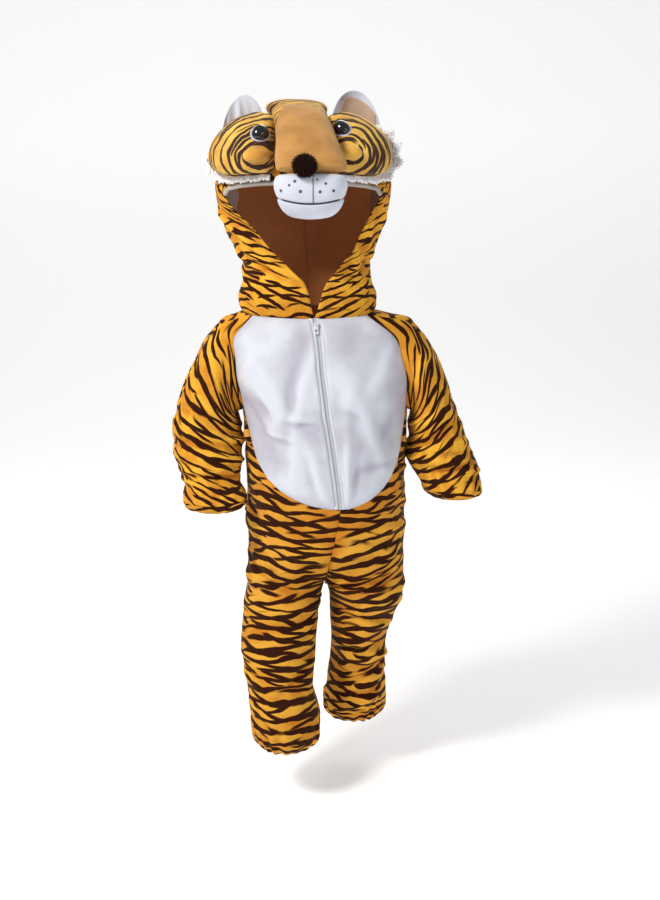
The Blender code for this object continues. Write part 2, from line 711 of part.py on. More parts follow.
def cloth_wall(name, grid, normals, thickness, finish, edges, closed=False):
    moved = pull_edges(grid, edges, closed)
    outer = grid + moved
    return solid_between(name, outer, outer - normals * thickness, finish, closed)


def body_grid(side, places, shared):
    """Points and normals for rows of places; shared seam normals win on their own places."""
    grid = np.zeros((len(places), len(places[0]), 3))
    normals = np.zeros_like(grid)
    for i, row in enumerate(places):
        for j, (around, z) in enumerate(row):
            key = place_key(around, z)
            grid[i, j], normals[i, j] = body_point(side, around, z, 0.0 if key in shared else 1.0)
            if key in shared:
                normals[i, j] = shared[key]
    return grid, normals


def lower_rows(starts, ends):
    """Rows from each column's own start down to the leg's end."""
    rows = []
    for i in range(UPPER_ROWS):
        t = i / UPPER_ROWS
        ease = t ** SPREAD_POWER
        row = []
        for (around, z), end in zip(starts, ends):
            row.append((around + (end - around) * ease, z + (HIP_Z - z) * t))
        rows.append(row)
    for i in range(CROTCH_ROWS):
        z = HIP_Z + (CROTCH_Z - HIP_Z) * math.sin(0.5 * math.pi * i / CROTCH_ROWS)
        rows.append([(end, z) for end in ends])
    for i in range(LEG_ROWS + 1):
        z = CROTCH_Z + (LEG_END_Z - CROTCH_Z) * i / LEG_ROWS
        rows.append([(end, z) for end in ends])
    return rows


def front_starts():
    starts = [panel_curve(k) for k in range(PANEL_STEPS + 1)]
    return starts + [armhole(k, False) for k in range(ARM_JUNCTION + 1, ARM_STEPS + 1)]


def back_starts():
    starts = [armhole(k, True) for k in range(ARM_STEPS, 0, -1)]
    for k in range(NECK_BACK_STEPS + 1):
        around = 1.0 - RAGLAN_NECK + RAGLAN_NECK * k / NECK_BACK_STEPS
        starts.append((around, neck_z(around)))
    return starts


def side_name(side):
    return "left" if side > 0 else "right"


def make_body(side, shared):
    starts = front_starts()
    ends = [0.5 * k / (len(starts) - 1) for k in range(len(starts))]
    grid, normals = body_grid(side, lower_rows(starts, ends), shared)
    cloth_wall("front_" + side_name(side), grid, normals, PLUSH, "plush", ("top", "bottom", "left", "right"))
    starts = back_starts()
    ends = [0.5 + 0.5 * k / (len(starts) - 1) for k in range(len(starts))]
    grid, normals = body_grid(side, lower_rows(starts, ends), shared)
    cloth_wall("back_" + side_name(side), grid, normals, PLUSH, "plush", ("top", "bottom", "left", "right"))


def zip_levels():
    """The levels of the panel's zip edge; the tapes and the chain use the same ones."""
    rows = ARM_JUNCTION + PANEL_STEPS // 2
    first_around, first_z = panel_curve(1)
    reach = zip_place(PANEL_EDGE, PANEL_TIP_Z)[1] / first_around
    end = PANEL_TIP_Z + (first_z - PANEL_TIP_Z) * reach + ZIP_END_LIFT
    return [neck_z(0.0) + (end - neck_z(0.0)) * i / rows for i in range(rows + 1)]


def belly_places(side):
    """A patch between the neck edge, the raglan seam, the curved lower edge and the zip."""
    half_panel = PANEL_STEPS // 2
    steps = range(NECK_FRONT_STEPS + 1)
    top = [(front_neck_place(side, k), neck_z(RAGLAN_NECK * k / NECK_FRONT_STEPS)) for k in steps]
    low = [panel_curve(k) for k in range(half_panel + 1)]
    outer = [armhole(k, False) for k in range(ARM_JUNCTION + 1)]
    outer += [panel_curve(k) for k in range(PANEL_STEPS - 1, half_panel - 1, -1)]
    rows = len(outer)
    zip_side = [(zip_place(side * PANEL_EDGE, z)[1], z) for z in zip_levels()]
    low[0] = zip_side[-1]
    places = []
    for i in range(rows):
        v = i / (rows - 1)
        row = []
        for j in range(NECK_FRONT_STEPS + 1):
            u = j / NECK_FRONT_STEPS
            value = []
            for axis in range(2):
                ruled_v = (1 - v) * top[j][axis] + v * low[j][axis]
                ruled_u = (1 - u) * zip_side[i][axis] + u * outer[i][axis]
                corners = (1 - u) * (1 - v) * top[0][axis] + u * (1 - v) * top[-1][axis]
                corners += (1 - u) * v * low[0][axis] + u * v * low[-1][axis]
                value.append(ruled_v + ruled_u - corners)
            row.append(tuple(value))
        places.append(row)
    return places


def make_belly(side, shared):
    places = belly_places(side)
    grid, normals = body_grid(side, places, shared)
    cloth_wall("belly_" + side_name(side), grid, normals, PLUSH, "white_plush", ("top", "bottom", "right"))


def strip_grid(offsets):
    levels = zip_levels()
    grid = np.zeros((len(levels), len(offsets), 3))
    normals = np.zeros_like(grid)
    for i, z in enumerate(levels):
        for j, offset in enumerate(offsets):
            side, around = zip_place(offset, z)
            grid[i, j] = body_base(side, around, z)
            normals[i, j] = body_normal(side, around, z)
    return grid, normals


def make_zip():
    for side in (-1, 1):
        offsets = [side * TAPE_INNER, side * 0.5 * (TAPE_INNER + TAPE_OUTER), side * TAPE_OUTER]
        grid, normals = strip_grid(offsets)
        pulled = grid + pull_edges(grid, ("top", "bottom"), False)
        solid_between("zip_tape_" + side_name(side), pulled, pulled - normals * TAPE, "zip_tape")
    grid, normals = strip_grid([-CHAIN_HALF, 0.0004, CHAIN_HALF])
    pulled = grid + pull_edges(grid, ("top", "bottom"), False)
    solid_between("zip_chain", pulled + normals * CHAIN_RAISE, pulled - normals * TAPE, "zip_white")


# Zip slider: a plate with two lugs, and a tab that turns between them
SLIDER_Z = -0.013
SLIDER_SIZE = (0.0080, 0.0110, 0.0022)
LUG_SIZE = (0.0016, 0.0036, 0.0030)
LUG_OFFSET = 0.0023
LUG_RISE = 0.0030
SLIDER_LIFT = 0.0006
TAB_SIZE = (0.0056, 0.0130, 0.0012)
TAB_NECK = (0.0024, 0.0050, 0.0012)
BARREL_RADIUS = 0.0011
BARREL_WIDTH = 0.0026


def add_box(name, size, place, finish):
    bpy.ops.mesh.primitive_cube_add(size=1.0, location=(0.0, 0.0, 0.0))
    made = bpy.context.object
    made.name = name
    for vertex in made.data.vertices:
        vertex.co = (
            vertex.co.x * size[0] + place[0],
            vertex.co.y * size[1] + place[1],
            vertex.co.z * size[2] + place[2],
        )
    for holder in list(made.users_collection):
        holder.objects.unlink(made)
    bpy.data.collections[COLLECTION].objects.link(made)
    made.data.materials.append(material(finish))
    return made


def join_by_union(base, others):
    for other in others:
        union = base.modifiers.new("union", "BOOLEAN")
        union.operation = "UNION"
        union.object = other
        for holder in list(other.users_collection):
            holder.objects.unlink(other)
        bpy.data.collections["cutters"].objects.link(other)
        other.hide_render = True
        other.display_type = "WIRE"


def make_slider():
    """Local Z points out of the cloth and local Y up along the zip."""
    first, second = zip_levels()[:2]
    top, low = (body_base(1, 0.0, level) for level in (first, second))
    part_way = (SLIDER_Z - first) / (second - first)
    seat = top + (low - top) * part_way
    lean = math.atan2(top[2] - low[2], top[1] - low[1])
    base_height = CHAIN_RAISE + SLIDER_LIFT
    middle = base_height + 0.5 * SLIDER_SIZE[2]
    axis_height = base_height + SLIDER_SIZE[2] + 0.0003 + BARREL_RADIUS
    plate = add_box("zip_slider", SLIDER_SIZE, (0.0, 0.0, middle), "zip_white")
    lug_z = base_height + SLIDER_SIZE[2] + 0.5 * LUG_SIZE[2] - 0.0002
    lugs = []
    for turn in (-1, 1):
        lug = add_box("lug", LUG_SIZE, (turn * LUG_OFFSET, LUG_RISE, lug_z), "zip_white")
        lugs.append(lug)
    pull = add_box("zip_pull", TAB_SIZE, (0.0, -0.5 * TAB_SIZE[1] - TAB_NECK[1] + 0.0010, 0.0), "zip_white")
    neck = add_box("neck", TAB_NECK, (0.0, -0.5 * TAB_NECK[1], 0.0), "zip_white")
    bpy.ops.mesh.primitive_cylinder_add(vertices=12, radius=BARREL_RADIUS, depth=BARREL_WIDTH)
    barrel = bpy.context.object
    for vertex in barrel.data.vertices:
        x, y, z = vertex.co
        vertex.co = (z, y, x)
    barrel.data.flip_normals()
    for item in [plate, pull, neck, barrel] + lugs:
        item.rotation_euler = (lean, 0.0, 0.0)
    for item in [plate] + lugs:
        item.location = tuple(seat)
    up = np.array((0.0, math.cos(lean), math.sin(lean)))
    axis = seat + out_of(lean) * axis_height + up * LUG_RISE
    for item in (pull, neck, barrel):
        item.location = tuple(axis)
    join_by_union(plate, lugs)
    join_by_union(pull, [neck, barrel])


def out_of(lean):
    return np.array((0.0, -math.sin(lean), math.cos(lean)))


def make_sleeve(side, shared):
    grid, normals = sleeve_grid(side)
    for k, (around, z) in enumerate(sleeve_seam(side)):
        normals[0, k] = shared[place_key(around, z)]
    edges = ("top", "bottom")
    cloth_wall("sleeve_" + side_name(side), grid, normals, PLUSH, "plush", edges, closed=True)
    return grid[-1], grid[-1].mean(axis=0), unit(grid[-1].mean(axis=0) - grid[-2].mean(axis=0))


def make_casing(name, ring, centre, down, table):
    """A gathered band that goes on from a ring of cloth; its first row lies on the ring's chords."""
    count = len(ring)
    rows = []
    for drop, scale, wave in table:
        row = []
        for k in range(count):
            for part in range(GATHER_COLUMNS):
                t = part / GATHER_COLUMNS
                start = ring[k] * (1 - t) + ring[(k + 1) % count] * t
                away = start - centre
                ripple = wave * math.cos(2 * math.pi * t)
                row.append(centre + away * scale + unit(away) * ripple + down * drop)
        rows.append(row)
    grid = np.array(rows)
    normals = grid_normals(grid, True)
    if float(np.dot(normals[0, 0], grid[0, 0] - centre)) < 0:
        normals = -normals
    for j in range(grid.shape[1]):
        away = grid[0, j] - centre
        normals[0, j] = unit(away - down * float(np.dot(away, down)))
        for i in (1, 2, 3):
            flat = grid[i, j] - centre
            flat = unit(flat - down * float(np.dot(flat, down)))
            normals[i, j] = unit(normals[i, j] + flat)
    cloth_wall(name, grid, normals, PLUSH * 0.9, "plush", ("top",), closed=True)


def leg_ring(side):
    """The closed ring at the foot of a leg, over the front and back panels' own points."""
    front = len(front_starts()) - 1
    back = len(back_starts()) - 1
    places = [0.5 * k / front for k in range(front)] + [0.5 + 0.5 * k / back for k in range(back)]
    return [body_point(side, around, LEG_END_Z)[0] for around in places]


def make_casings(side, wrist):
    ring, centre, along = wrist
    make_casing("wrist_casing_" + side_name(side), ring, centre, along, WRIST_CASING)
    ring = leg_ring(side)
    centre = np.mean(ring, axis=0)
    down = np.array((0.0, 0.0, -1.0))
    make_casing("ankle_casing_" + side_name(side), ring, centre, down, ANKLE_CASING)


def make_hood(side, shared):
    grid, normals = hood_grid(side)
    for k, around in enumerate(neck_places()):
        normals[0, k] = shared[place_key(around, neck_z(around))]
    edges = ("top", "bottom", "right", "left")
    cloth_wall("hood_" + side_name(side), grid, normals, PLUSH, "plush", edges)


def closed_tube(name, rings, finish):
    """One closed body through rings of points, with a fan over each end."""
    count = len(rings[0])
    points = [tuple(p) for ring in rings for p in ring]
    faces = []
    for i in range(len(rings) - 1):
        for k in range(count):
            a, b = i * count + k, i * count + (k + 1) % count
            faces.append((a, b, b + count))
            faces.append((a, b + count, a + count))
    for number, ring in ((0, rings[0]), (len(rings) - 1, rings[-1])):
        middle = len(points)
        points.append(tuple(np.mean(ring, axis=0)))
        for k in range(count):
            a, b = number * count + k, number * count + (k + 1) % count
            faces.append((middle, b, a) if number == 0 else (middle, a, b))
    return add_mesh(name, points, faces, finish)


RIDGE_X = -0.0190
RIDGE_LIFT = 0.0014
RIDGE_SLANT = 0.142
RIDGE_ROUND = 0.85


def ridge_rings(table):
    rings = []
    for row in table:
        value = dict(zip(RIDGE_COLUMNS, row))
        top = np.array((0.0, value["top_y"], value["top_z"]))
        low = np.array((0.0, value["low_y"], value["low_z"]))
        if value["low_z"] == 0.0:
            low[2] = dome_height(RIDGE_X, value["low_y"]) + RIDGE_LIFT
        middle, half = 0.5 * (top + low), 0.5 * (top - low)
        shift = RIDGE_X + RIDGE_SLANT * max(-value["top_y"], 0.0)
        ring = []
        for k in range(RIDGE_SIDES):
            turn = 2 * math.pi * k / RIDGE_SIDES
            across = value["half_width"] * signed_power(math.cos(turn), RIDGE_ROUND)
            up = half * signed_power(math.sin(turn), RIDGE_ROUND)
            ring.append(middle + up + np.array((shift + across, 0.0, 0.0)))
        rings.append(np.array(ring))
    return rings


def pillow(name, centre, radii, finish, power, segments=16, rings=9):
    """A stuffed round form; a power under 1 makes it squarer."""
    bpy.ops.mesh.primitive_uv_sphere_add(segments=segments, ring_count=rings, radius=1.0)
    made = bpy.context.object
    made.name = name
    for vertex in made.data.vertices:
        shaped = [signed_power(value, power) for value in vertex.co]
        vertex.co = [middle + value * radius for middle, value, radius in zip(centre, shaped, radii)]
    for holder in list(made.users_collection):
        holder.objects.unlink(made)
    bpy.data.collections[COLLECTION].objects.link(made)
    made.data.materials.append(material(finish))
    made.data.shade_smooth()
    return made


# Stuffed cheeks: place on the hood as an angle from the front and a level, and their size
CHEEK_TURNS = {-1: -45.0, 1: 42.0}
CHEEK_TURN_HALF = {-1: 27.5, 1: 24.5}
CHEEK_SKEW = {-1: 5.0, 1: 2.5}
CHEEK_LEVEL = 0.2460
CHEEK_LEVEL_HALF = 0.0300
CHEEK_HEIGHT = 0.040
CHEEK_RIM = 0.004
CHEEK_FULLNESS = 0.7
CHEEK_DROOP = 0.010
CHEEK_ROUND = 0.31
CHEEK_ROUND_CHANGE = 0.19
EYE_PLACES = {-1: (-0.745, 0.06), 1: (-0.72, 0.20)}
CHEEK_PAD_PLACES = {-1: (-0.70, -0.52), 1: (-0.66, -0.45)}
CHEEK_TRIMS = (
    ("eye_felt", EYE_PLACES, (0.0150, 0.0155), (0.0004, 0.0010, 0.0000), "white_plush"),
    ("eye", EYE_PLACES, (0.0128, 0.0132), (0.0018, 0.0010, 0.0085), "eye_gloss"),
    ("cheek_pad", CHEEK_PAD_PLACES, (0.0190, 0.0110), (0.0004, 0.0010, 0.0080), "head_plush"),
)
PAD_COLUMNS = 9
PAD_ROWS = 8


def disc_place(u, v):
    return u * math.sqrt(1.0 - 0.5 * v * v), v * math.sqrt(1.0 - 0.5 * u * u)


def cheek_place(u, v):
    """A place on the cheek: square towards the snout, round towards the ear."""
    round_off = CHEEK_ROUND + CHEEK_ROUND_CHANGE * u
    return u * math.sqrt(1.0 - round_off * v * v), v * math.sqrt(1.0 - round_off * u * u)


def cheek_foot(side, a, b):
    """The angle from the front and the level on the hood under a place of the cheek."""
    skew = CHEEK_SKEW[side] * 0.5 * (1.0 - a) * b
    turn = math.radians(CHEEK_TURNS[side] + side * (CHEEK_TURN_HALF[side] * a + skew))
    return turn, CHEEK_LEVEL + CHEEK_LEVEL_HALF * b


def cheek_top(side, u, v):
    """A point on the stuffed cheek; u and v run from -1 to 1 over it."""
    a, b = cheek_place(u, v)
    turn, level = cheek_foot(side, a, b)
    here = dome_point(turn, level)
    out = dome_normal(turn, level)
    swell = math.sqrt(max((1.0 - u * u) * (1.0 - v * v), 0.0))
    height = LAY_GAP + CHEEK_RIM + CHEEK_HEIGHT * swell ** CHEEK_FULLNESS
    droop = np.array((0.0, 0.0, -CHEEK_DROOP)) * swell
    return here + out * height + droop


def dome_normal(turn, level):
    step = 2e-3
    low, high = dome_point(turn, level - step), dome_point(turn, level + step)
    left, right = dome_point(turn - step, level), dome_point(turn + step, level)
    found = unit(np.cross(right - left, high - low))
    outward = dome_point(turn, level) - np.array((0.0, 0.0, DOME_Z - 0.05))
    return found if float(np.dot(found, outward)) > 0 else -found


def make_cheek(side):
    steps_u = [-1 + 2 * k / PAD_COLUMNS for k in range(PAD_COLUMNS + 1)]
    steps_v = [1 - 2 * k / PAD_ROWS for k in range(PAD_ROWS + 1)]
    outer, inner = [], []
    for v in steps_v:
        outer.append([cheek_top(side, u, v) for u in steps_u])
        row = []
        for u in steps_u:
            a, b = cheek_place(u, v)
            turn, level = cheek_foot(side, a, b)
            row.append(dome_point(turn, level) + dome_normal(turn, level) * LAY_GAP)
        inner.append(row)
    solid_between("head_cheek_" + side_name(side), np.array(outer), np.array(inner), "head_plush")


def lay_pad(name, side, centre, radii, heights, finish, columns=6):
    """A small pad on a stuffed cheek: its foot follows the cheek, its top is domed."""

    def surface(u, v):
        return cheek_top(side, u, v)

    step = 0.02
    u0, v0 = centre
    outer, inner = [], []
    middle = surface(u0, v0)
    along_u = surface(u0 + step, v0) - surface(u0 - step, v0)
    along_v = surface(u0, v0 + step) - surface(u0, v0 - step)
    size_u = np.linalg.norm(along_u) / (2 * step)
    size_v = np.linalg.norm(along_v) / (2 * step)
    facing = unit(np.cross(along_u, along_v))
    if float(np.dot(facing, middle - np.array((0.0, 0.0, DOME_Z)))) < 0:
        facing = -facing
    foot, rim, crown = heights
    for i in range(columns + 1):
        v = 1 - 2 * i / columns
        row_out, row_in = [], []
        for j in range(columns + 1):
            u = -1 + 2 * j / columns
            a, b = disc_place(u, v)
            place = surface(u0 + a * radii[0] / size_u, v0 + b * radii[1] / size_v)
            swell = math.sqrt(max(1.0 - (a * a + b * b), 0.0))
            row_in.append(place + facing * foot)
            row_out.append(place + facing * (foot + rim + crown * swell))
        outer.append(row_out)
        inner.append(row_in)
    return solid_between(name, np.array(outer), np.array(inner), finish)


# Ears: plan place, half width and height
EARS = {-1: (-0.101, 0.022, 0.034, 0.058), 1: (0.078, 0.022, 0.040, 0.058)}
EAR_NARROWING = 0.50
EAR_THICK = 0.0035
EAR_LEAN = 0.10
EAR_CURL = 0.010
EAR_FOOT = 0.0015
EAR_COLUMNS = 9
EAR_ROWS = 6


def ear_sheet(side, offset, wide=1.0, low=0.0, high=1.0):
    """One face of an ear, or a part of it; the foot stands on the hood and the rim curls forward."""
    centre_x, centre_y, half, height = EARS[side]
    sheet = []
    for i in range(EAR_ROWS):
        v = high + (low - high) * i / (EAR_ROWS - 1)
        row = []
        for j in range(EAR_COLUMNS):
            u = wide * (-1 + 2 * j / (EAR_COLUMNS - 1))
            x = centre_x + half * u * math.sqrt(1 - EAR_NARROWING * v * v)
            rise = height * v * math.sqrt(1 - 0.50 * u * u)
            round_off = math.sqrt(max(1 - 0.8 * u * u, 0.0)) * math.sqrt(1 - 0.75 * v * v)
            thick = math.copysign(EAR_THICK, offset)
            y = centre_y - EAR_CURL * u * u - EAR_LEAN * rise + thick * (0.4 + 0.6 * round_off)
            y += offset - thick
            row.append(np.array((x + side * 0.12 * rise, y, dome_height(x, centre_y) + EAR_FOOT + rise)))
        sheet.append(row)
    return np.array(sheet)


def dome_height(x, y):
    """The hood's height over a plan point, on the dome."""
    half, front, back = hood_plan(DOME_Z)
    depth = front if y < 0 else back
    across = abs((x - hood_value("centre_x", DOME_Z)) / half) ** SECTION_POWER
    reach = (across + abs(y / depth) ** SECTION_POWER) ** (1 / SECTION_POWER)
    return DOME_Z + DOME_RISE * math.sqrt(max(1 - min(reach, 1.0) ** 2, 0.0))


def make_ear(side):
    front, back = ear_sheet(side, -EAR_THICK), ear_sheet(side, EAR_THICK)
    solid_between("ear_" + side_name(side), front, back, "white_plush")
    if side > 0:
        near = ear_sheet(side, -EAR_THICK - 0.0005, 0.74, 0.12, 0.80)
        far = ear_sheet(side, -EAR_THICK - 0.0020, 0.74, 0.12, 0.80)
        solid_between("ear_inner_left", far, near, "ear_lining")


# White fringe of the cheeks: the place runs from 0 to 1 under the cheek and on to 2 up its outer side
FRINGE_COLUMNS = ("place", "reach", "outward")
FRINGES = {
    -1: (
        (0.06, 0.004, 0.10),
        (0.50, 0.006, 0.15),
        (0.80, 0.011, 0.45),
        (1.00, 0.018, 0.75),
        (1.30, 0.016, 0.95),
        (1.60, 0.004, 1.00),
    ),
    1: (
        (0.06, 0.004, 0.10),
        (0.50, 0.006, 0.15),
        (0.80, 0.012, 0.45),
        (1.00, 0.024, 0.75),
        (1.40, 0.031, 0.95),
        (1.85, 0.006, 1.00),
    ),
}
FRINGE_THICK = 0.0020
FRINGE_CLEAR = (1.030, 1.045)
FRINGE_TUFTS = 9
FRINGE_NOTCH = 0.30
FRINGE_FOOT = 0.0046
FRINGE_LENGTHS = 4


def fringe_root(side, place):
    """A point just outside the cheek's border, and the way out of the hood there."""
    u, v = (2.0 * place - 1.0, -1.0) if place <= 1.0 else (1.0, 2.0 * (place - 1.0) - 1.0)
    a, b = cheek_place(u, v)
    turn, level = cheek_foot(side, a * FRINGE_CLEAR[0], b * FRINGE_CLEAR[1])
    out = dome_normal(turn, level)
    return dome_point(turn, level) + out * FRINGE_FOOT, out


def make_fringe(side):
    table = FRINGES[side]
    first, last = table[0][0], table[-1][0]
    rows = FRINGE_TUFTS * 2 + 1
    front, back = [], []
    for i in range(rows):
        place = first + (last - first) * i / (rows - 1)
        root, out = fringe_root(side, place)
        after = fringe_root(side, min(place + 0.02, 2.0))[0]
        before = fringe_root(side, place - 0.02)[0]
        along = unit(after - before)
        reach = smooth_column(table, FRINGE_COLUMNS, "reach", place, "place")
        outward = smooth_column(table, FRINGE_COLUMNS, "outward", place, "place")
        away = np.cross(along, out)
        if float(np.dot(away, root - cheek_top(side, 0.0, 0.0))) < 0:
            away = -away
        way = unit(out * outward + away * (1.0 - outward) + np.array((0.0, 0.0, -0.25)))
        way = unit(way - along * float(np.dot(way, along)))
        across = unit(np.cross(way, along))
        if float(np.dot(across, out + np.array((0.0, -1.0, 0.0)))) < 0:
            across = -across
        notch = 1.0 - FRINGE_NOTCH * (i % 2)
        row_front, row_back = [], []
        for j in range(FRINGE_LENGTHS):
            t = j / (FRINGE_LENGTHS - 1)
            spot = root + way * reach * notch * t
            thick = 0.5 * FRINGE_THICK * (1.0 - 0.4 * t)
            row_front.append(spot + across * thick)
            row_back.append(spot - across * thick)
        front.append(row_front)
        back.append(row_back)
    solid_between("fringe_" + side_name(side), np.array(front), np.array(back), "white_plush")


BINDING_RADIUS = 0.0034
BINDING_LOW_Z = 0.193
OPENING_MIDDLE = np.array((0.010, -0.08, 0.13))


def opening_edge(side):
    """The top edge of the face opening on one side, from its middle down to the cheek's end."""
    corners = [hood_base(side, 0.0, z) for z in reversed(HOOD_ROWS_Z) if z >= BINDING_LOW_Z]
    points = corners[:1]
    for before, after in zip(corners, corners[1:]):
        points += [0.5 * (before + after), after]
    return points


def make_binding():
    left, right = opening_edge(1), opening_edge(-1)
    path = right[:0:-1] + left
    rings = []
    for k, here in enumerate(path):
        before, after = path[max(k - 1, 0)], path[min(k + 1, len(path) - 1)]
        along = unit(after - before)
        out = unit(np.array((here[0], here[1], 0.0)))
        out = unit(out - along * float(np.dot(out, along)))
        down = np.cross(out, along)
        if float(np.dot(down, OPENING_MIDDLE - here)) < 0:
            down = -down
        centre = here - out * 0.5 * PLUSH + down * (BINDING_RADIUS + 0.0006)
        ring = []
        for j in range(8):
            turn = 2 * math.pi * j / 8
            ring.append(centre + BINDING_RADIUS * (out * math.cos(turn) + down * math.sin(turn)))
        rings.append(np.array(ring))
    closed_tube("hood_binding", rings, "binding")


# Muzzle and chin: one white bowl, parted along the mouth, which curves up to its corners
BOWL_COLUMNS = ("z", "half_width", "depth", "smile")
BOWL_CENTRE = (0.0080, -0.1715)
BOWL_SMILE = 3.6
BOWL_SIDES = 22
BOWL_ROUND = 0.75
MUZZLE = (
    (0.2194, 0.0400, 0.0240, 0.00),
    (0.2170, 0.0490, 0.0320, 0.00),
    (0.2100, 0.0530, 0.0360, 0.00),
    (0.2000, 0.0535, 0.0370, 0.15),
    (0.1890, 0.0520, 0.0360, 0.60),
    (0.1800, 0.0495, 0.0340, 0.95),
    (0.1775, 0.0470, 0.0318, 1.00),
)
CHIN = (
    (0.1770, 0.0465, 0.0312, 1.00),
    (0.1755, 0.0485, 0.0330, 0.95),
    (0.1690, 0.0455, 0.0310, 0.75),
    (0.1625, 0.0390, 0.0270, 0.55),
    (0.1580, 0.0290, 0.0200, 0.30),
    (0.1560, 0.0160, 0.0110, 0.10),
)


def bowl_rings(table):
    rings = []
    for row in table:
        value = dict(zip(BOWL_COLUMNS, row))
        ring = []
        for k in range(BOWL_SIDES):
            turn = 2 * math.pi * k / BOWL_SIDES
            across = value["half_width"] * signed_power(math.cos(turn), BOWL_ROUND)
            along = value["depth"] * signed_power(math.sin(turn), BOWL_ROUND)
            rise = value["z"] + value["smile"] * BOWL_SMILE * across * across
            ring.append(np.array((BOWL_CENTRE[0] + across, BOWL_CENTRE[1] + along, rise)))
        rings.append(np.array(ring))
    return rings


def make_head():
    closed_tube("head_crown", ridge_rings(CROWN), "head_plush")
    closed_tube("snout", ridge_rings(SNOUT), "tan_felt")
    closed_tube("muzzle", bowl_rings(MUZZLE), "white_plush")
    closed_tube("chin", bowl_rings(CHIN), "white_plush")
    pillow("nose", (0.0000, -0.2091, 0.2310), (0.0160, 0.0120, 0.0145), "brown_pompom", 1.0)
    for side in (-1, 1):
        make_cheek(side)
        for name, places, radii, heights, finish in CHEEK_TRIMS:
            lay_pad(name + "_" + side_name(side), side, places[side], radii, heights, finish)
        make_ear(side)
        make_fringe(side)


def main():
    clear_scene()
    for name in (COLLECTION, "cutters"):
        bpy.context.scene.collection.children.link(bpy.data.collections.new(name))
    for side in (-1, 1):
        shared = seam_normals(side)
        make_body(side, shared)
        make_belly(side, shared)
        wrist = make_sleeve(side, shared)
        make_casings(side, wrist)
        make_hood(side, shared)
    make_zip()
    make_slider()
    make_binding()
    make_head()


main()
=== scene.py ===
"""Looks of the tiger costume: striped plush, a white zipped front and a stuffed head on the hood.

Metres, +Z up, the front faces -Y, +X is the wearer's left. Side +1 is the wearer's left.
"""
import math

import bmesh
import bpy
import numpy as np
from mathutils import Matrix


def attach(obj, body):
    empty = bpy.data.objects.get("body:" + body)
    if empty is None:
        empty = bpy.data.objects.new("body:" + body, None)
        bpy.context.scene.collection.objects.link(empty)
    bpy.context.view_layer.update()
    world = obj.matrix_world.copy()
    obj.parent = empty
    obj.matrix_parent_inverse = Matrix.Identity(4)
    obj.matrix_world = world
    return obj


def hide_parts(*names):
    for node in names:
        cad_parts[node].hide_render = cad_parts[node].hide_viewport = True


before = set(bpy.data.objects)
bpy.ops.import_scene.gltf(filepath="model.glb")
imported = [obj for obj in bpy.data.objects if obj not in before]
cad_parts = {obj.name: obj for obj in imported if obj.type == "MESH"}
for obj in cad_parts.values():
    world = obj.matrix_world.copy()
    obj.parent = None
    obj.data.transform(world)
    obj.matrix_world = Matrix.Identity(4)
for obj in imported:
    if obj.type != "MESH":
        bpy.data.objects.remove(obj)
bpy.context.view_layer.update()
SUIT = "suit"
ZIP_PULL = "zip_pull"
SIDES = (-1, 1)
SIDE_NAMES = {-1: "right", 1: "left"}

# Studio
# A pale seamless floor that turns up behind, soft lamps in front and above, and the camera at
# chest height, tipped down a little, as in the photograph.
FLOOR_Z = -0.79
FLOOR_FRONT = -2.6
FLOOR_HALF = 4.5
FLOOR_TURN_Y = 2.4
FLOOR_TURN_RADIUS = 1.2
FLOOR_TURN_STEPS = 12
BACKDROP_TOP = 4.5
CAMERA_PLACE = (0.036, -2.02, 0.205)
CAMERA_PITCH = 78.0
CAMERA_LENS = 50.0
# Each lamp: its name, place, aim, size, power and colour
LAMPS = (
    ("key_lamp", (-1.7, -1.5, 1.9), (0.03, 0.0, -0.1), 0.8, 74.0, (1.0, 0.97, 0.93)),
    ("fill_lamp", (1.7, -1.7, 0.6), (0.03, 0.0, -0.2), 1.6, 8.0, (0.93, 0.96, 1.0)),
    ("back_lamp", (0.4, 1.9, 1.6), (0.03, 0.0, 0.0), 1.4, 16.0, (1.0, 1.0, 1.0)),
)
FLOOR_GLOW = 0.3
SKY = (0.93, 0.94, 0.96, 1.0)
SKY_STRENGTH = 0.34


def link(thing, name):
    made = bpy.data.objects.new(name, thing)
    bpy.context.scene.collection.objects.link(made)
    return made


def set_values(node, values):
    for key, value in values.items():
        node.inputs[key].default_value = value


def shader_of(material):
    return material.node_tree.nodes["Principled BSDF"]


def plain_material(name, colour, rough, settings=()):
    """A material of one colour and roughness, with any other plain values of its shader."""
    made = bpy.data.materials.new(name)
    made.use_nodes = True
    values = {"Base Color": (*colour, 1.0), "Roughness": rough, **dict(settings)}
    set_values(shader_of(made), values)
    return made


def look_at(item, place, aim):
    item.location = place
    offset = [a - b for a, b in zip(aim, place)]
    pitch = math.atan2(offset[2], math.hypot(offset[0], offset[1]))
    item.rotation_euler = (math.pi / 2 + pitch, 0.0, math.atan2(-offset[0], offset[1]))


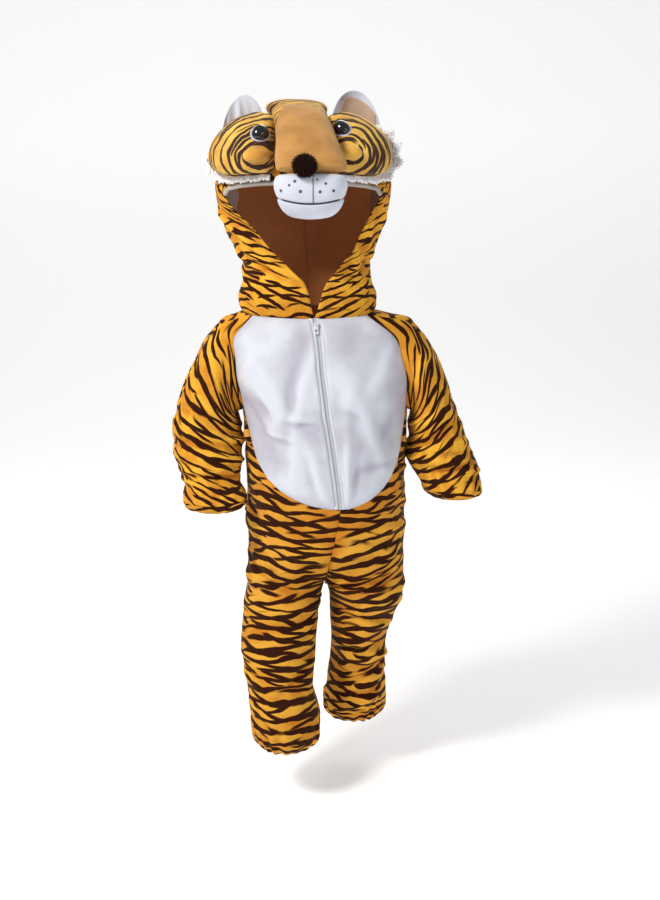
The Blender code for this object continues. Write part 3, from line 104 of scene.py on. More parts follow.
profile = [(FLOOR_FRONT, FLOOR_Z), (FLOOR_TURN_Y, FLOOR_Z)]
for step in range(1, FLOOR_TURN_STEPS + 1):
    turn = 0.5 * math.pi * step / FLOOR_TURN_STEPS
    reach = FLOOR_TURN_RADIUS * math.sin(turn)
    rise = FLOOR_TURN_RADIUS * (1.0 - math.cos(turn))
    profile.append((FLOOR_TURN_Y + reach, FLOOR_Z + rise))
profile.append((FLOOR_TURN_Y + FLOOR_TURN_RADIUS, FLOOR_Z + BACKDROP_TOP))
floor_mesh = bpy.data.meshes.new("floor")
floor_points = [(x, y, z) for y, z in profile for x in (-FLOOR_HALF, FLOOR_HALF)]
floor_faces = [(2 * k, 2 * k + 1, 2 * k + 3, 2 * k + 2) for k in range(len(profile) - 1)]
floor_mesh.from_pydata(floor_points, [], floor_faces)
floor_mesh.shade_smooth()
floor = link(floor_mesh, "floor")
glow = {"Emission Color": (1.0, 1.0, 1.0, 1.0), "Emission Strength": FLOOR_GLOW}
pale_floor = plain_material("pale_floor", (0.9, 0.9, 0.9), 0.9, glow)
floor_mesh.materials.append(pale_floor)
for name, place, aim, size, power, colour in LAMPS:
    light = bpy.data.lights.new(name, "AREA")
    light.shape, light.size, light.energy, light.color = "DISK", size, power, colour
    look_at(link(light, name), place, aim)
world = bpy.data.worlds.new("studio")
world.use_nodes = True
set_values(world.node_tree.nodes["Background"], {"Color": SKY, "Strength": SKY_STRENGTH})
bpy.context.scene.world = world
camera = link(bpy.data.cameras.new("camera"), "camera")
camera.data.lens = CAMERA_LENS
camera.location = CAMERA_PLACE
camera.rotation_euler = (math.radians(CAMERA_PITCH), 0.0, 0.0)
bpy.context.scene.camera = camera
bpy.context.scene.view_settings.view_transform = "Standard"

# Front and back panels
# Short pile plush, printed with dark brown stripes on golden orange. Each panel runs from the
# shoulder or the white panel's edge to the ankle, and is sewn at the centre, sides and inseam.
PLUSH = 0.002
NECK_RISE = 0.012
RAGLAN_NECK = 0.325
UNDERARM_Z = -0.155
PANEL_TIP_Z = -0.297
HIP_Z = -0.335
CROTCH_Z = -0.445
LEG_END_Z = -0.682
SECTION_POWER = 2.3
ARM_STEPS = 7
ARM_JUNCTION = 5
PANEL_STEPS = 10
NECK_FRONT_STEPS = 5
NECK_SLEEVE_STEPS = 3
NECK_BACK_STEPS = 5
UPPER_ROWS = 6
SPREAD_POWER = 0.8
CROTCH_ROWS = 5
LEG_ROWS = 10

TORSO_COLUMNS = ("z", "centre_x", "half_width", "front", "back", "twist")
TORSO = (
    (0.03, 0.0, 0.094, 0.058, 0.058, 5.0),
    (0.0, 0.001, 0.108, 0.064, 0.064, 4.0),
    (-0.04, 0.012, 0.15, 0.088, 0.082, 2.0),
    (-0.09, 0.022, 0.15, 0.104, 0.092, 0.5),
    (-0.14, 0.027, 0.138, 0.112, 0.094, 1.0),
    (-0.2, 0.029, 0.131, 0.118, 0.09, 3.5),
    (-0.26, 0.029, 0.131, 0.121, 0.088, 6.5),
    (-0.3, 0.029, 0.13, 0.119, 0.09, 8.0),
    (-0.335, 0.029, 0.129, 0.114, 0.096, 6.0),
    (-0.38, 0.029, 0.13, 0.107, 0.101, 3.0),
    (-0.445, 0.028, 0.132, 0.1, 0.098, 0.0),
)
LEG_COLUMNS = ("z", "centre_x", "centre_y", "across", "deep")
LEGS = {
    -1: (
        (-0.445, -0.0378, 0.0, 0.0658, 0.088),
        (-0.46, -0.042, -0.008, 0.065, 0.086),
        (-0.5, -0.047, -0.026, 0.063, 0.08),
        (-0.541, -0.0495, -0.044, 0.063, 0.075),
        (-0.58, -0.0475, -0.06, 0.057, 0.07),
        (-0.615, -0.0445, -0.069, 0.0535, 0.066),
        (-0.65, -0.0385, -0.08, 0.058, 0.066),
        (-0.682, -0.037, -0.086, 0.0555, 0.062),
    ),
    1: (
        (-0.445, 0.0938, 0.0, 0.0658, 0.088),
        (-0.46, 0.096, 0.006, 0.063, 0.084),
        (-0.491, 0.092, 0.014, 0.0575, 0.078),
        (-0.53, 0.087, 0.02, 0.051, 0.074),
        (-0.564, 0.085, 0.025, 0.047, 0.07),
        (-0.6, 0.083, 0.03, 0.048, 0.066),
        (-0.641, 0.0815, 0.036, 0.051, 0.062),
        (-0.682, 0.079, 0.041, 0.0545, 0.06),
    ),
}

SPACING = 0.0036
BODY_GIRTH = 0.4
# The cloth wanders in waves of this length and height, and lies still near its seams
BODY_WANDER = (0.055, 0.0012)
STILL_EDGE = 0.02
SEAM_DIP = 0.0011
SEAM_WIDTH = 0.0055
# Large soft folds: side, way round, level, lean, half length, half width, height
BODY_FOLDS = (
    (-1, 0.1, -0.375, 0.55, 0.06, 0.012, 0.005),
    (1, 0.1, -0.37, 0.5, 0.06, 0.012, 0.0045),
    (-1, 0.42, -0.33, 0.25, 0.07, 0.012, 0.0045),
    (1, 0.44, -0.345, -0.2, 0.06, 0.013, 0.005),
    (1, 0.42, -0.475, -0.15, 0.07, 0.016, 0.006),
    (1, 0.3, -0.52, 0.3, 0.055, 0.011, 0.004),
    (1, 0.25, -0.572, -0.25, 0.06, 0.011, 0.005),
    (1, 0.3, -0.618, 0.2, 0.07, 0.011, 0.005),
    (1, 0.2, -0.655, -0.15, 0.06, 0.01, 0.004),
    (-1, 0.3, -0.47, 0.25, 0.06, 0.013, 0.004),
    (-1, 0.22, -0.535, -0.3, 0.06, 0.012, 0.005),
    (-1, 0.36, -0.59, 0.25, 0.06, 0.011, 0.005),
    (-1, 0.2, -0.628, -0.15, 0.07, 0.01, 0.005),
    (-1, 0.34, -0.662, 0.1, 0.07, 0.009, 0.004),
    (-1, 0.74, -0.3, 0.2, 0.08, 0.014, 0.0055),
    (1, 0.78, -0.32, -0.2, 0.08, 0.014, 0.005),
    (-1, 0.8, -0.12, 0.45, 0.07, 0.014, 0.0045),
    (1, 0.76, -0.13, -0.4, 0.07, 0.014, 0.0045),
    (-1, 0.75, -0.545, 0.25, 0.07, 0.013, 0.0055),
    (1, 0.72, -0.56, -0.2, 0.07, 0.013, 0.0055),
    (-1, 0.72, -0.625, -0.2, 0.07, 0.011, 0.005),
    (1, 0.76, -0.64, 0.15, 0.07, 0.011, 0.005),
    (-1, 0.58, -0.22, 0.6, 0.06, 0.013, 0.004),
    (1, 0.6, -0.235, -0.6, 0.06, 0.013, 0.004),
    (-1, 0.31, -0.16, 1.2, 0.055, 0.013, -0.0055),
    (1, 0.13, -0.15, -2.5, 0.11, 0.014, 0.0035),
    (-1, 0.12, -0.17, 2.8, 0.11, 0.014, 0.003),
)

# Smaller creases by zones of the body: side, from and to round, from and to level, lean, how
# many, half length, half width, height
CREASES = (
    (-1, (0.04, 0.46), (-0.46, -0.34), 0.5, 9, 0.045, 0.006, 0.0022),
    (1, (0.04, 0.46), (-0.46, -0.34), 0.5, 9, 0.045, 0.006, 0.0022),
    (-1, (0.08, 0.42), (-0.66, -0.47), -0.15, 16, 0.04, 0.0055, 0.0024),
    (1, (0.08, 0.42), (-0.67, -0.47), 0.1, 20, 0.042, 0.006, 0.0028),
    (-1, (0.3, 0.5), (-0.34, -0.18), 0.4, 7, 0.035, 0.006, 0.0022),
    (1, (0.3, 0.5), (-0.34, -0.18), -0.4, 7, 0.035, 0.006, 0.0022),
    (-1, (0.55, 0.95), (-0.46, -0.05), 0.3, 26, 0.05, 0.007, 0.0024),
    (1, (0.55, 0.95), (-0.46, -0.05), -0.3, 26, 0.05, 0.007, 0.0024),
    (-1, (0.55, 0.95), (-0.67, -0.47), 0.1, 18, 0.04, 0.006, 0.0026),
    (1, (0.55, 0.95), (-0.67, -0.47), -0.1, 18, 0.04, 0.006, 0.0026),
)
CREASE_SEED = 7
LEG_GATHERS = 17
GATHER_RISE = 0.03
GATHER_DEPTH = 0.0022


def signed_power(value, power):
    return math.copysign(abs(value) ** power, value)


def unit(vector):
    return vector / max(float(np.linalg.norm(vector)), 1e-12)


def smooth_column(table, names, wanted, at, key="z"):
    """A smooth curve through one named column of a table, read at one level."""
    levels = [row[names.index(key)] for row in table]
    values = [row[names.index(wanted)] for row in table]
    if levels[0] > levels[-1]:
        levels.reverse()
        values.reverse()
    at = min(max(at, levels[0]), levels[-1])
    last = len(levels) - 2
    k = 0
    while k < last and at > levels[k + 1]:
        k += 1
    width = levels[k + 1] - levels[k]
    t = (at - levels[k]) / width

    def slope(j):
        ends = ((max(j - 1, 0), j), (j, min(j + 1, last + 1)))
        grades = [(values[b] - values[a]) / (levels[b] - levels[a]) for a, b in ends if b > a]
        if len(grades) == 1:
            return grades[0]
        left, right = grades
        return 2.0 * left * right / (left + right) if left * right > 0.0 else 0.0

    h00 = 2 * t ** 3 - 3 * t ** 2 + 1
    h10 = t ** 3 - 2 * t ** 2 + t
    h01 = -2 * t ** 3 + 3 * t ** 2
    h11 = t ** 3 - t ** 2
    ends = h00 * values[k] + h01 * values[k + 1]
    return ends + width * (h10 * slope(k) + h11 * slope(k + 1))


def section_point(angle, centre_x, half_width, front, back):
    """A point of a rounded section; the angle runs from the front over the wearer's left."""
    across = signed_power(math.sin(angle), 2.0 / SECTION_POWER)
    along = signed_power(math.cos(angle), 2.0 / SECTION_POWER)
    depth = front if along > 0 else back
    return np.array((centre_x + half_width * across, -depth * along))


def half_angle(side, around, start):
    """The angle at a fraction of the way from the centre front to the centre back."""
    return start + around * (math.pi - start) if side > 0 else start - around * (math.pi + start)


def torso_value(wanted, z):
    return smooth_column(TORSO, TORSO_COLUMNS, wanted, z)


def body_base(side, around, z):
    """The suit without its folds: a torso section that parts into two legs at the crotch."""
    leg = LEGS[side]
    if z <= CROTCH_Z:
        read = [smooth_column(leg, LEG_COLUMNS, name, z) for name in LEG_COLUMNS[1:]]
        centre_x, centre_y, across, deep = read
        turn = 2.0 * math.pi * around
        x = centre_x - side * across * math.cos(turn)
        return np.array((x, centre_y - deep * math.sin(turn), z))
    centre = torso_value("centre_x", z)
    half = torso_value("half_width", z)
    angle = half_angle(side, around, math.radians(torso_value("twist", z)))
    plan = section_point(angle, centre, half, torso_value("front", z), torso_value("back", z))
    if z < HIP_Z:
        fall = (HIP_Z - z) / (HIP_Z - CROTCH_Z)
        keep = math.sqrt(max(1.0 - fall * fall, 0.0))
        turn = 2.0 * math.pi * around
        deep = 0.088 / 0.099 * 0.5 * (torso_value("front", z) + torso_value("back", z))
        ring = np.array((centre + side * half * 0.5 * (1.0 - math.cos(turn)), -deep * math.sin(turn)))
        plan = keep * plan + (1.0 - keep) * ring
    return np.array((plan[0], plan[1], z))


def neck_z(around):
    return NECK_RISE * around


def armhole(step, back):
    """A point of the raglan seam, from the neck (0) to the underarm, on the front or the back."""
    turn = 0.5 * math.pi * step / ARM_STEPS
    around = 0.5 - (0.5 - RAGLAN_NECK) * math.cos(turn) ** 0.7 if step < ARM_STEPS else 0.5
    if back:
        around = 1.0 - around
    top = neck_z(1.0 - RAGLAN_NECK if back else RAGLAN_NECK)
    return around, top + (UNDERARM_Z - top) * math.sin(turn)


def panel_curve(step):
    """A point of the white panel's lower edge, from its tip (0) to the armhole."""
    turn = 0.5 * math.pi * step / PANEL_STEPS
    end_around, end_z = armhole(ARM_JUNCTION, False)
    return end_around * math.sin(turn) ** 1.3, end_z + (PANEL_TIP_Z - end_z) * math.cos(turn)


def lower_rows(starts, ends):
    """Rows from each column's own start down to the leg's end."""
    rows = []
    for i in range(UPPER_ROWS):
        t = i / UPPER_ROWS
        pairs = zip(starts, ends)
        ease = t ** SPREAD_POWER
        rows.append([(around + (end - around) * ease, z + (HIP_Z - z) * t) for (around, z), end in pairs])
    turns = [0.5 * math.pi * i / CROTCH_ROWS for i in range(CROTCH_ROWS)]
    levels = [HIP_Z + (CROTCH_Z - HIP_Z) * math.sin(turn) for turn in turns]
    levels += [CROTCH_Z + (LEG_END_Z - CROTCH_Z) * i / LEG_ROWS for i in range(LEG_ROWS + 1)]
    return rows + [[(end, z) for end in ends] for z in levels]


def panel_starts(front):
    """The places of a front or a back panel's upper edge, from the side of the smaller way round."""
    if front:
        starts = [panel_curve(k) for k in range(PANEL_STEPS + 1)]
        return starts + [armhole(k, False) for k in range(ARM_JUNCTION + 1, ARM_STEPS + 1)]
    neck = [1.0 - RAGLAN_NECK + RAGLAN_NECK * k / NECK_BACK_STEPS for k in range(NECK_BACK_STEPS + 1)]
    neck = [(around, neck_z(around)) for around in neck]
    return [armhole(k, True) for k in range(ARM_STEPS, 0, -1)] + neck


def smooth_through(values, steps, closed):
    """More values along the first axis, on a smooth curve through the given ones."""
    count = len(values)
    made = []
    for k, parts in enumerate(steps):
        a = values[(k - 1) % count] if closed or k > 0 else 2 * values[0] - values[1]
        b, c = values[k], values[(k + 1) % count]
        d = values[(k + 2) % count] if closed or k + 2 < count else 2 * values[-1] - values[-2]
        for part in range(parts):
            t = part / parts
            bend = (2 * a - 5 * b + 4 * c - d) * t * t + (3 * b - a - 3 * c + d) * t ** 3
            made.append(0.5 * (2 * b + (c - a) * t + bend))
    if not closed:
        made.append(values[-1])
    return np.array(made)


def refine(grid, spacing, closed=False):
    """A finer grid of points; more channels than three ride along, such as a place on the cloth."""
    lengths = np.linalg.norm(np.diff(grid[:, :, :3], axis=0), axis=2).max(axis=1)
    fine = smooth_through(grid, [max(1, round(x / spacing)) for x in lengths], False)
    turned = np.swapaxes(fine, 0, 1)
    ends = np.concatenate((turned, turned[:1])) if closed else turned
    lengths = np.linalg.norm(np.diff(ends[:, :, :3], axis=0), axis=2).mean(axis=1)
    turned = smooth_through(turned, [max(1, round(x / spacing)) for x in lengths], closed)
    return np.swapaxes(turned, 0, 1)


def run_down(points):
    """The distance walked down each column of a sheet."""
    return np.cumsum(np.linalg.norm(np.diff(points, axis=0, prepend=points[:1]), axis=2), axis=0)


def facing(vector, way):
    """The vector, or its opposite, whichever goes along the given way."""
    return vector if float(np.sum(vector * way)) > 0 else -vector


def flat_unit(vectors, least=1e-12):
    return vectors / np.maximum(np.linalg.norm(vectors, axis=-1, keepdims=True), least)


def set_attribute(mesh, name, kind, values):
    """Values kept on each point of a mesh, numbers or vectors, for the materials to read."""
    layer = mesh.attributes.new(name, kind, "POINT")
    key = "vector" if kind == "FLOAT_VECTOR" else "value"
    layer.data.foreach_set(key, np.asarray(values, dtype=np.float32).ravel())


def turned_out(mesh, points, faces):
    """Makes the faces of a closed body look out of it."""
    corners = points[np.array([face[:3] for face in faces])]
    if float(np.sum(corners[:, 0] * np.cross(corners[:, 1], corners[:, 2]))) < 0:
        mesh.flip_normals()


def sheet_normals(points, closed=False):
    """The way out of a sheet at each point of its grid."""
    if closed:
        wrapped = np.concatenate((points[:, -1:], points, points[:, :1]), axis=1)
        across = np.gradient(wrapped, axis=1)[:, 1:-1]
    else:
        across = np.gradient(points, axis=1)
    down = np.gradient(points, axis=0)
    found = flat_unit(np.cross(across, down))
    return facing(found, points - points.mean(axis=1, keepdims=True))


def shell(name, outer, inner, uv, finishes, heights, closed=False):
    """A closed thin body: an outer and an inner sheet, with rims along the open edges."""
    rows, columns = outer.shape[:2]
    count = rows * columns
    spans = columns if closed else columns - 1
    faces, spots, slots = [], [], []

    def add(face, places, slot):
        faces.append(face)
        spots.extend(places)
        slots.append(slot)

    for i in range(rows - 1):
        for j in range(spans):
            k = (j + 1) % columns
            quad = (i * columns + j, i * columns + k, (i + 1) * columns + k, (i + 1) * columns + j)
            places = ((i, j), (i, j + 1), (i + 1, j + 1), (i + 1, j))
            add(quad, places, 0)
            add(tuple(count + c for c in reversed(quad)), places[::-1], 1)
    rims = [((i, j), (i, j + 1), i == 0) for i in (0, rows - 1) for j in range(spans)]
    if not closed:
        rims += [((i, j), (i + 1, j), j > 0) for j in (0, columns - 1) for i in range(rows - 1)]
    for first, second, turned in rims:
        if turned:
            first, second = second, first
        a, b = (i * columns + j % columns for i, j in (first, second))
        add((a, b, count + b, count + a), (first, second, second, first), 0)
    mesh = bpy.data.meshes.new(name)
    points = np.concatenate((outer.reshape(-1, 3), inner.reshape(-1, 3)))
    mesh.from_pydata(points.tolist(), [], faces)
    layer = mesh.uv_layers.new(name="cloth")
    spots = np.array(spots)
    layer.data.foreach_set("uv", uv[spots[:, 0], spots[:, 1]].astype(np.float32).ravel())
    for finish in finishes:
        mesh.materials.append(finish)
    if len(finishes) > 1:
        mesh.polygons.foreach_set("material_index", slots)
    mesh.shade_smooth()
    set_attribute(mesh, "relief", "FLOAT", np.tile(heights.ravel(), 2))
    turned_out(mesh, points, faces)
    mesh.update()
    return link(mesh, name)


def bumps(rows, around, level, girth):
    """The summed height of soft ridges over the places of a cloth."""
    total = np.zeros_like(around)
    for _, at_around, at_level, lean, half_length, half_width, height in rows:
        run = (around - at_around) * girth
        rise = level - at_level
        length = math.hypot(1.0, lean)
        along = (run + rise * lean) / length
        off = (rise - run * lean) / length
        total += height * np.exp(-((along / half_length) ** 2 + (off / half_width) ** 2))
    return total


def crease_rows(side):
    """Small uneven ridges and hollows, spread over the zones of one side."""
    draw = np.random.default_rng(CREASE_SEED + side)
    rows = []
    for zone_side, arounds, levels, lean, count, half_length, half_width, height in CREASES:
        for number in range(count if zone_side == side else 0):
            around, level = draw.uniform(*arounds), draw.uniform(*levels)
            leaning = lean + draw.normal(0.0, 0.3)
            size = draw.uniform(0.6, 1.4)
            high = height * draw.uniform(1.1, 2.5) * (-0.9 if number % 3 == 2 else 1.0)
            wide = half_width * draw.uniform(0.8, 1.4)
            rows.append((side, around, level, leaning, half_length * size, wide, high))
    return rows


def unevenness(u, v, seed, size, height):
    """A gentle wander of the cloth: a few crossing waves with fixed random turns."""
    draw = np.random.default_rng(seed)
    total = np.zeros_like(u)
    for number in range(9):
        turn = draw.uniform(0.0, 2 * math.pi)
        pitch = size * draw.uniform(0.6, 1.7)
        phase = draw.uniform(0.0, 2 * math.pi)
        total += np.sin((u * math.cos(turn) + v * math.sin(turn)) * 2 * math.pi / pitch + phase)
    return total * height / 4.0


def from_edges(points, edges):
    """The distance to the nearest sewn edge, along the rows and columns of a sheet."""
    down = run_down(points)
    across = np.cumsum(np.linalg.norm(np.diff(points, axis=1, prepend=points[:, :1]), axis=2), axis=1)
    ways = {"top": down, "bottom": down[-1:] - down, "left": across, "right": across[:, -1:] - across}
    return np.minimum(1.0, np.min([ways[edge] for edge in edges], axis=0))


def gather_wave(around, count):
    """Uneven gathers: a wave that closes on itself after a whole turn."""
    turn = 2 * math.pi * around
    return 0.5 * np.cos(count * turn + 1.3 * np.sin(3 * turn) + 0.9 * np.sin(5 * turn + 1.0)) * (
        1.3 + 0.7 * np.sin(4 * turn + 0.6)
    )


def seam_dip(near):
    return -SEAM_DIP * np.exp(-(near / SEAM_WIDTH) ** 2)


def fade_in(near, width):
    t = np.clip(near / width, 0.0, 1.0)
    return t * t * (3.0 - 2.0 * t)


def body_points(side, places):
    """Points of the body without folds, with their places round and down as two more channels."""
    return np.array([[(*body_base(side, around, z), around, z) for around, z in row] for row in places])


def cloth_piece(name, points, heights, uv, finishes, closed=False, thickness=PLUSH, steady=None):
    """Moves a sheet out by its heights, gives it a wall and makes it a piece.

    Where steady is over 0, the wall turns towards the level way out, to meet its neighbour.
    """
    moved = points + sheet_normals(points, closed) * heights[:, :, None]
    out = sheet_normals(moved, closed)
    if steady is not None:
        level_out = moved - moved.mean(axis=1, keepdims=True)
        level_out[:, :, 2] = 0.0
        share = steady[:, :, None]
        out = flat_unit(out * (1.0 - share) + flat_unit(level_out, 1e-9) * share)
    inner = moved - out * thickness
    return shell(name, moved, inner, uv, finishes, heights, closed), moved


def tuck(points, rows=True):
    """Carries the first row, or the first column, a little under the neighbouring cloth."""
    seen = points if rows else np.swapaxes(points, 0, 1)
    seen[0] += flat_unit(seen[0] - seen[1], 1e-9) * TUCK


TUCK = 0.0016


def settle(piece, node, slot):
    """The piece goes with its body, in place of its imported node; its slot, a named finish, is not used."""
    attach(piece, ZIP_PULL if node == ZIP_PULL else SUIT)
    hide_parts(node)


def trim(piece):
    """A small added piece, such as stitches or pile, that stands for no node of its own."""
    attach(piece, SUIT)


NARROWEST = 0.01


def cut_sheet(piece, base, closed=False):
    """Works out the flat cut of the cloth, its widest row, its longest column and its own area, and keeps
    none of it.
    """
    wide = np.linalg.norm(np.diff(base, axis=1), axis=2).sum(axis=1)
    if closed:
        wide = wide + np.linalg.norm(base[:, 0] - base[:, -1], axis=1)
    long = np.linalg.norm(np.diff(base, axis=0), axis=2).sum(axis=0)
    ends = np.concatenate((base, base[:, :1]), axis=1) if closed else base
    first = np.cross(ends[:-1, 1:] - ends[:-1, :-1], ends[1:, :-1] - ends[:-1, :-1])
    second = np.cross(ends[1:, :-1] - ends[1:, 1:], ends[:-1, 1:] - ends[1:, 1:])
    area = 0.5 * float(np.linalg.norm(first, axis=2).sum() + np.linalg.norm(second, axis=2).sum())
    width, length = max(round(float(wide.max()), 3), NARROWEST), round(float(long.max()), 3)
    area = min(max(area, 0.31 * width * length), width * length)


def sewn(node, made_of, points, heights, uv, finishes, slot, closed=False, thickness=PLUSH):
    """A sheet of cloth with its wall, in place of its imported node, and its flat cut."""
    piece, moved = cloth_piece(node + made_of, points, heights, uv, finishes, closed, thickness)
    settle(piece, node, slot)
    cut_sheet(piece, points, closed)
    return moved


def node_maker(tree):
    """A short way to add a node, set its values and link its inputs."""

    def make(kind, values=(), links=(), **settings):
        node = tree.nodes.new(kind)
        for key, value in settings.items():
            setattr(node, key, value)
        set_values(node, dict(values))
        for key, socket in dict(links).items():
            tree.links.new(socket, node.inputs[key])
        return node

    return make


def new_finish(name, rough, settings=()):
    """A new material with its shader's plain values, a way to add nodes to it, and its shader."""
    made = plain_material(name, (0.8, 0.8, 0.8), rough, settings)
    return made, node_maker(made.node_tree), shader_of(made)


def own_places(make):
    return make("ShaderNodeTexCoord").outputs["Object"]


def noise(make, places, scale, detail, rough=0.5):
    grain = {"Scale": scale, "Detail": detail, "Roughness": rough}
    return make("ShaderNodeTexNoise", grain, {"Vector": places})


def spread(make, value, low, high, bottom=0.0, top=1.0, **settings):
    """A value spread from one range over another."""
    ends = {"From Min": low, "From Max": high, "To Min": bottom, "To Max": top}
    return make("ShaderNodeMapRange", ends, {"Value": value}, **settings).outputs["Result"]


def mixed(make, part, first, second):
    """Two colours, plain or from a node, mixed by the part of the second one."""
    given = {6: first, 7: second}
    plain = {key: (*colour, 1.0) for key, colour in given.items() if isinstance(colour, tuple)}
    wired = {key: colour for key, colour in given.items() if key not in plain}
    return make("ShaderNodeMix", plain, {0: part, **wired}, data_type="RGBA").outputs[2]


def wandered(make, places, source, scale, detail, reach):
    """Places that a soft noise pushes about."""
    drift = noise(make, source, scale, detail).outputs["Color"]
    centred = make("ShaderNodeVectorMath", {1: (0.5, 0.5, 0.5)}, {0: drift}, operation="SUBTRACT")
    links = {0: centred.outputs["Vector"], 2: places}
    pushed = make("ShaderNodeVectorMath", {1: reach}, links, operation="MULTIPLY_ADD")
    return pushed.outputs["Vector"]


def painted_relief_shade(make, clouds, tint):
    """Soft clouds, with painted light on the ridges of the cloth and painted shade in its hollows."""
    relief = make("ShaderNodeAttribute", attribute_name="relief")
    links = {0: relief.outputs["Fac"], 2: clouds.outputs["Fac"]}
    return make("ShaderNodeMath", {1: tint}, links, operation="MULTIPLY_ADD").outputs["Value"]


def pile_bump(make, places, size, strength, distance, clumps=0.0):
    """Short pile: fine fibres with soft clumps. Gives its bump and its fibres."""
    fibres = noise(make, places, 1.0 / size, 4.0, 0.65).outputs["Fac"]
    tufts = noise(make, places, 0.16 / size, 2.0).outputs["Fac"]
    height = make("ShaderNodeMath", {1: 0.6 + clumps}, {0: tufts, 2: fibres}, operation="MULTIPLY_ADD")
    bump = {"Strength": strength, "Distance": distance}
    return make("ShaderNodeBump", bump, {"Height": height.outputs["Value"]}), fibres


def speckled(make, colour, fibres, low, high):
    """A colour made darker and lighter by single fibres."""
    speck = spread(make, fibres, 0.3, 0.7, low, high)
    return make("ShaderNodeVectorMath", {}, {0: colour, 3: speck}, operation="SCALE").outputs["Vector"]


def join(shader, colour, bump):
    """Gives a shader its colour and its relief."""
    links = shader.id_data.links
    links.new(colour, shader.inputs["Base Color"])
    links.new(bump.outputs["Normal"], shader.inputs["Normal"])


def strokes(make, places, pitch, turns, cover, contrast):
    """Tapering strokes of print: one set for each turn, laid over each other so that they fork."""
    joined = None
    for number, turn in enumerate(turns):
        apart = (1.7 * number, 0.9 * number, 0.0)
        moved = make("ShaderNodeVectorMath", {1: apart}, {0: places}, operation="ADD")
        shape = {"Scale": 0.42 / pitch, "Frequency": 2.4, "Anisotropy": 1.0}
        shape["Orientation"] = math.radians(90.0 + turn)
        lines = make("ShaderNodeTexGabor", shape, {"Vector": moved.outputs["Vector"]}, gabor_type="2D")
        ends = (cover - contrast, cover + contrast, 1.0, 0.0)
        mark = spread(make, lines.outputs["Value"], *ends, interpolation_type="SMOOTHSTEP")
        if joined:
            mark = make("ShaderNodeMath", {}, {0: joined, 1: mark}, operation="MAXIMUM").outputs["Value"]
        joined = mark
    return joined


STROKE_TURNS = (13.0, -12.0)
# How much painted light a ridge gets, and painted shade a hollow, for each metre that it stands out
RELIEF_PAINTED_SHADE = 70.0
STRIPE_STRETCH = 0.7
STRIPE_WANDER = (0.034, 0.0544, 0.0)
STRIPE_RIPPLE = (0.006, 0.006, 0.0)
STRIPE_CONTRAST = 0.024


def striped_plush(name, light, pitch, angle, cover, shift):
    """Plush printed with wavy, tapering stripes; coordinates are the cloth's own, in metres."""
    soft = {"Sheen Weight": 0.1, "Sheen Roughness": 0.45, "Sheen Tint": (1.0, 0.8, 0.42, 1.0)}
    made, make, shader = new_finish(name, 0.85, {"Specular IOR Level": 0.05, **soft})
    turned = {"Location": (shift, shift * 0.7, 0.0), "Rotation": (0.0, 0.0, math.radians(angle))}
    turned["Scale"] = (STRIPE_STRETCH, 1.0, 1.0)
    cloth = make("ShaderNodeUVMap", uv_map="cloth").outputs["UV"]
    placed = make("ShaderNodeMapping", turned, {"Vector": cloth}).outputs["Vector"]
    waved = wandered(make, placed, placed, 9.0, 2.0, STRIPE_WANDER)
    rippled = wandered(make, waved, placed, 60.0, 1.0, STRIPE_RIPPLE)
    stripe = strokes(make, rippled, pitch, STROKE_TURNS, cover, STRIPE_CONTRAST)
    places = own_places(make)
    bump, fibres = pile_bump(make, places, 0.0011, 0.35, 0.0009)
    # The ground runs from orange to the lighter gold by soft noise and by the relief: painted light on
    # ridges, painted shade in hollows.
    tone_mix = painted_relief_shade(make, noise(make, places, 22.0, 3.0, 0.6), RELIEF_PAINTED_SHADE)
    printed = mixed(make, stripe, mixed(make, spread(make, tone_mix, 0.3, 0.72), ORANGE, light), STRIPE_DARK)
    join(shader, speckled(make, printed, fibres, 0.82, 1.12), bump)
    return made


def plush_reverse(name, light, deep):
    """The knitted back of the plush, where it shows inside."""
    made, make, shader = new_finish(name, 0.95)
    places = own_places(make)
    patches = noise(make, places, 14.0, 4.0).outputs["Fac"]
    join(shader, mixed(make, patches, deep, light), pile_bump(make, places, 0.0008, 0.3, 0.0005)[0])
    return made


GOLD = (0.93, 0.47, 0.045)
ORANGE = (0.62, 0.225, 0.022)
STRIPE_DARK = (0.036, 0.009, 0.004)
# The body's plush is the sleeves' and the hood's cloth, given a darker gold as painted shade for the dimmer
# light on the torso and legs.
body_plush_painted_shade = striped_plush("striped_plush_body_painted_shade", (0.8, 0.39, 0.045), 0.0185, -4.0, 0.452, 0.0)
body_reverse = plush_reverse("plush_reverse", (0.86, 0.37, 0.13), (0.5, 0.2, 0.085))
leg_ends = {}
for side in SIDES:
    for front in (True, False):
        starts = panel_starts(front)
        first = 0.0 if front else 0.5
        ends = [first + 0.5 * k / (len(starts) - 1) for k in range(len(starts))]
        fine = refine(body_points(side, lower_rows(starts, ends)), SPACING)
        points, around, level = fine[:, :, :3], fine[:, :, 3], fine[:, :, 4]
        near = from_edges(points, ("top", "left", "right"))
        folds = [row for row in BODY_FOLDS if row[0] == side] + crease_rows(side)
        heights = bumps(folds, around, level, BODY_GIRTH) * fade_in(near, 0.022)
        heights += unevenness(around * BODY_GIRTH, level, 3 + side, *BODY_WANDER) * fade_in(near, STILL_EDGE)
        gather = np.exp(-((level - LEG_END_Z) / GATHER_RISE) ** 2)
        heights += GATHER_DEPTH * gather * gather_wave(around, LEG_GATHERS)
        heights += seam_dip(near)
        uv = np.stack((around * BODY_GIRTH + (0.9 if side > 0 else 0.0), level), axis=2)
        name = ("front_" if front else "back_") + SIDE_NAMES[side]
        finishes = (body_plush_painted_shade, body_reverse)
        moved = sewn(name, "_plush", points, heights, uv, finishes, "striped_plush")
        leg_ends.setdefault(side, []).append((moved[-1], around[-1]))


# White front panels
# Short white fleece, cut in two by the zip. The outer edge is sewn to the striped panels and the
# sleeves, and the weight of the cloth pulls it into a few long soft folds.
PANEL_EDGE = 0.0091
ZIP_END_LIFT = 0.0006


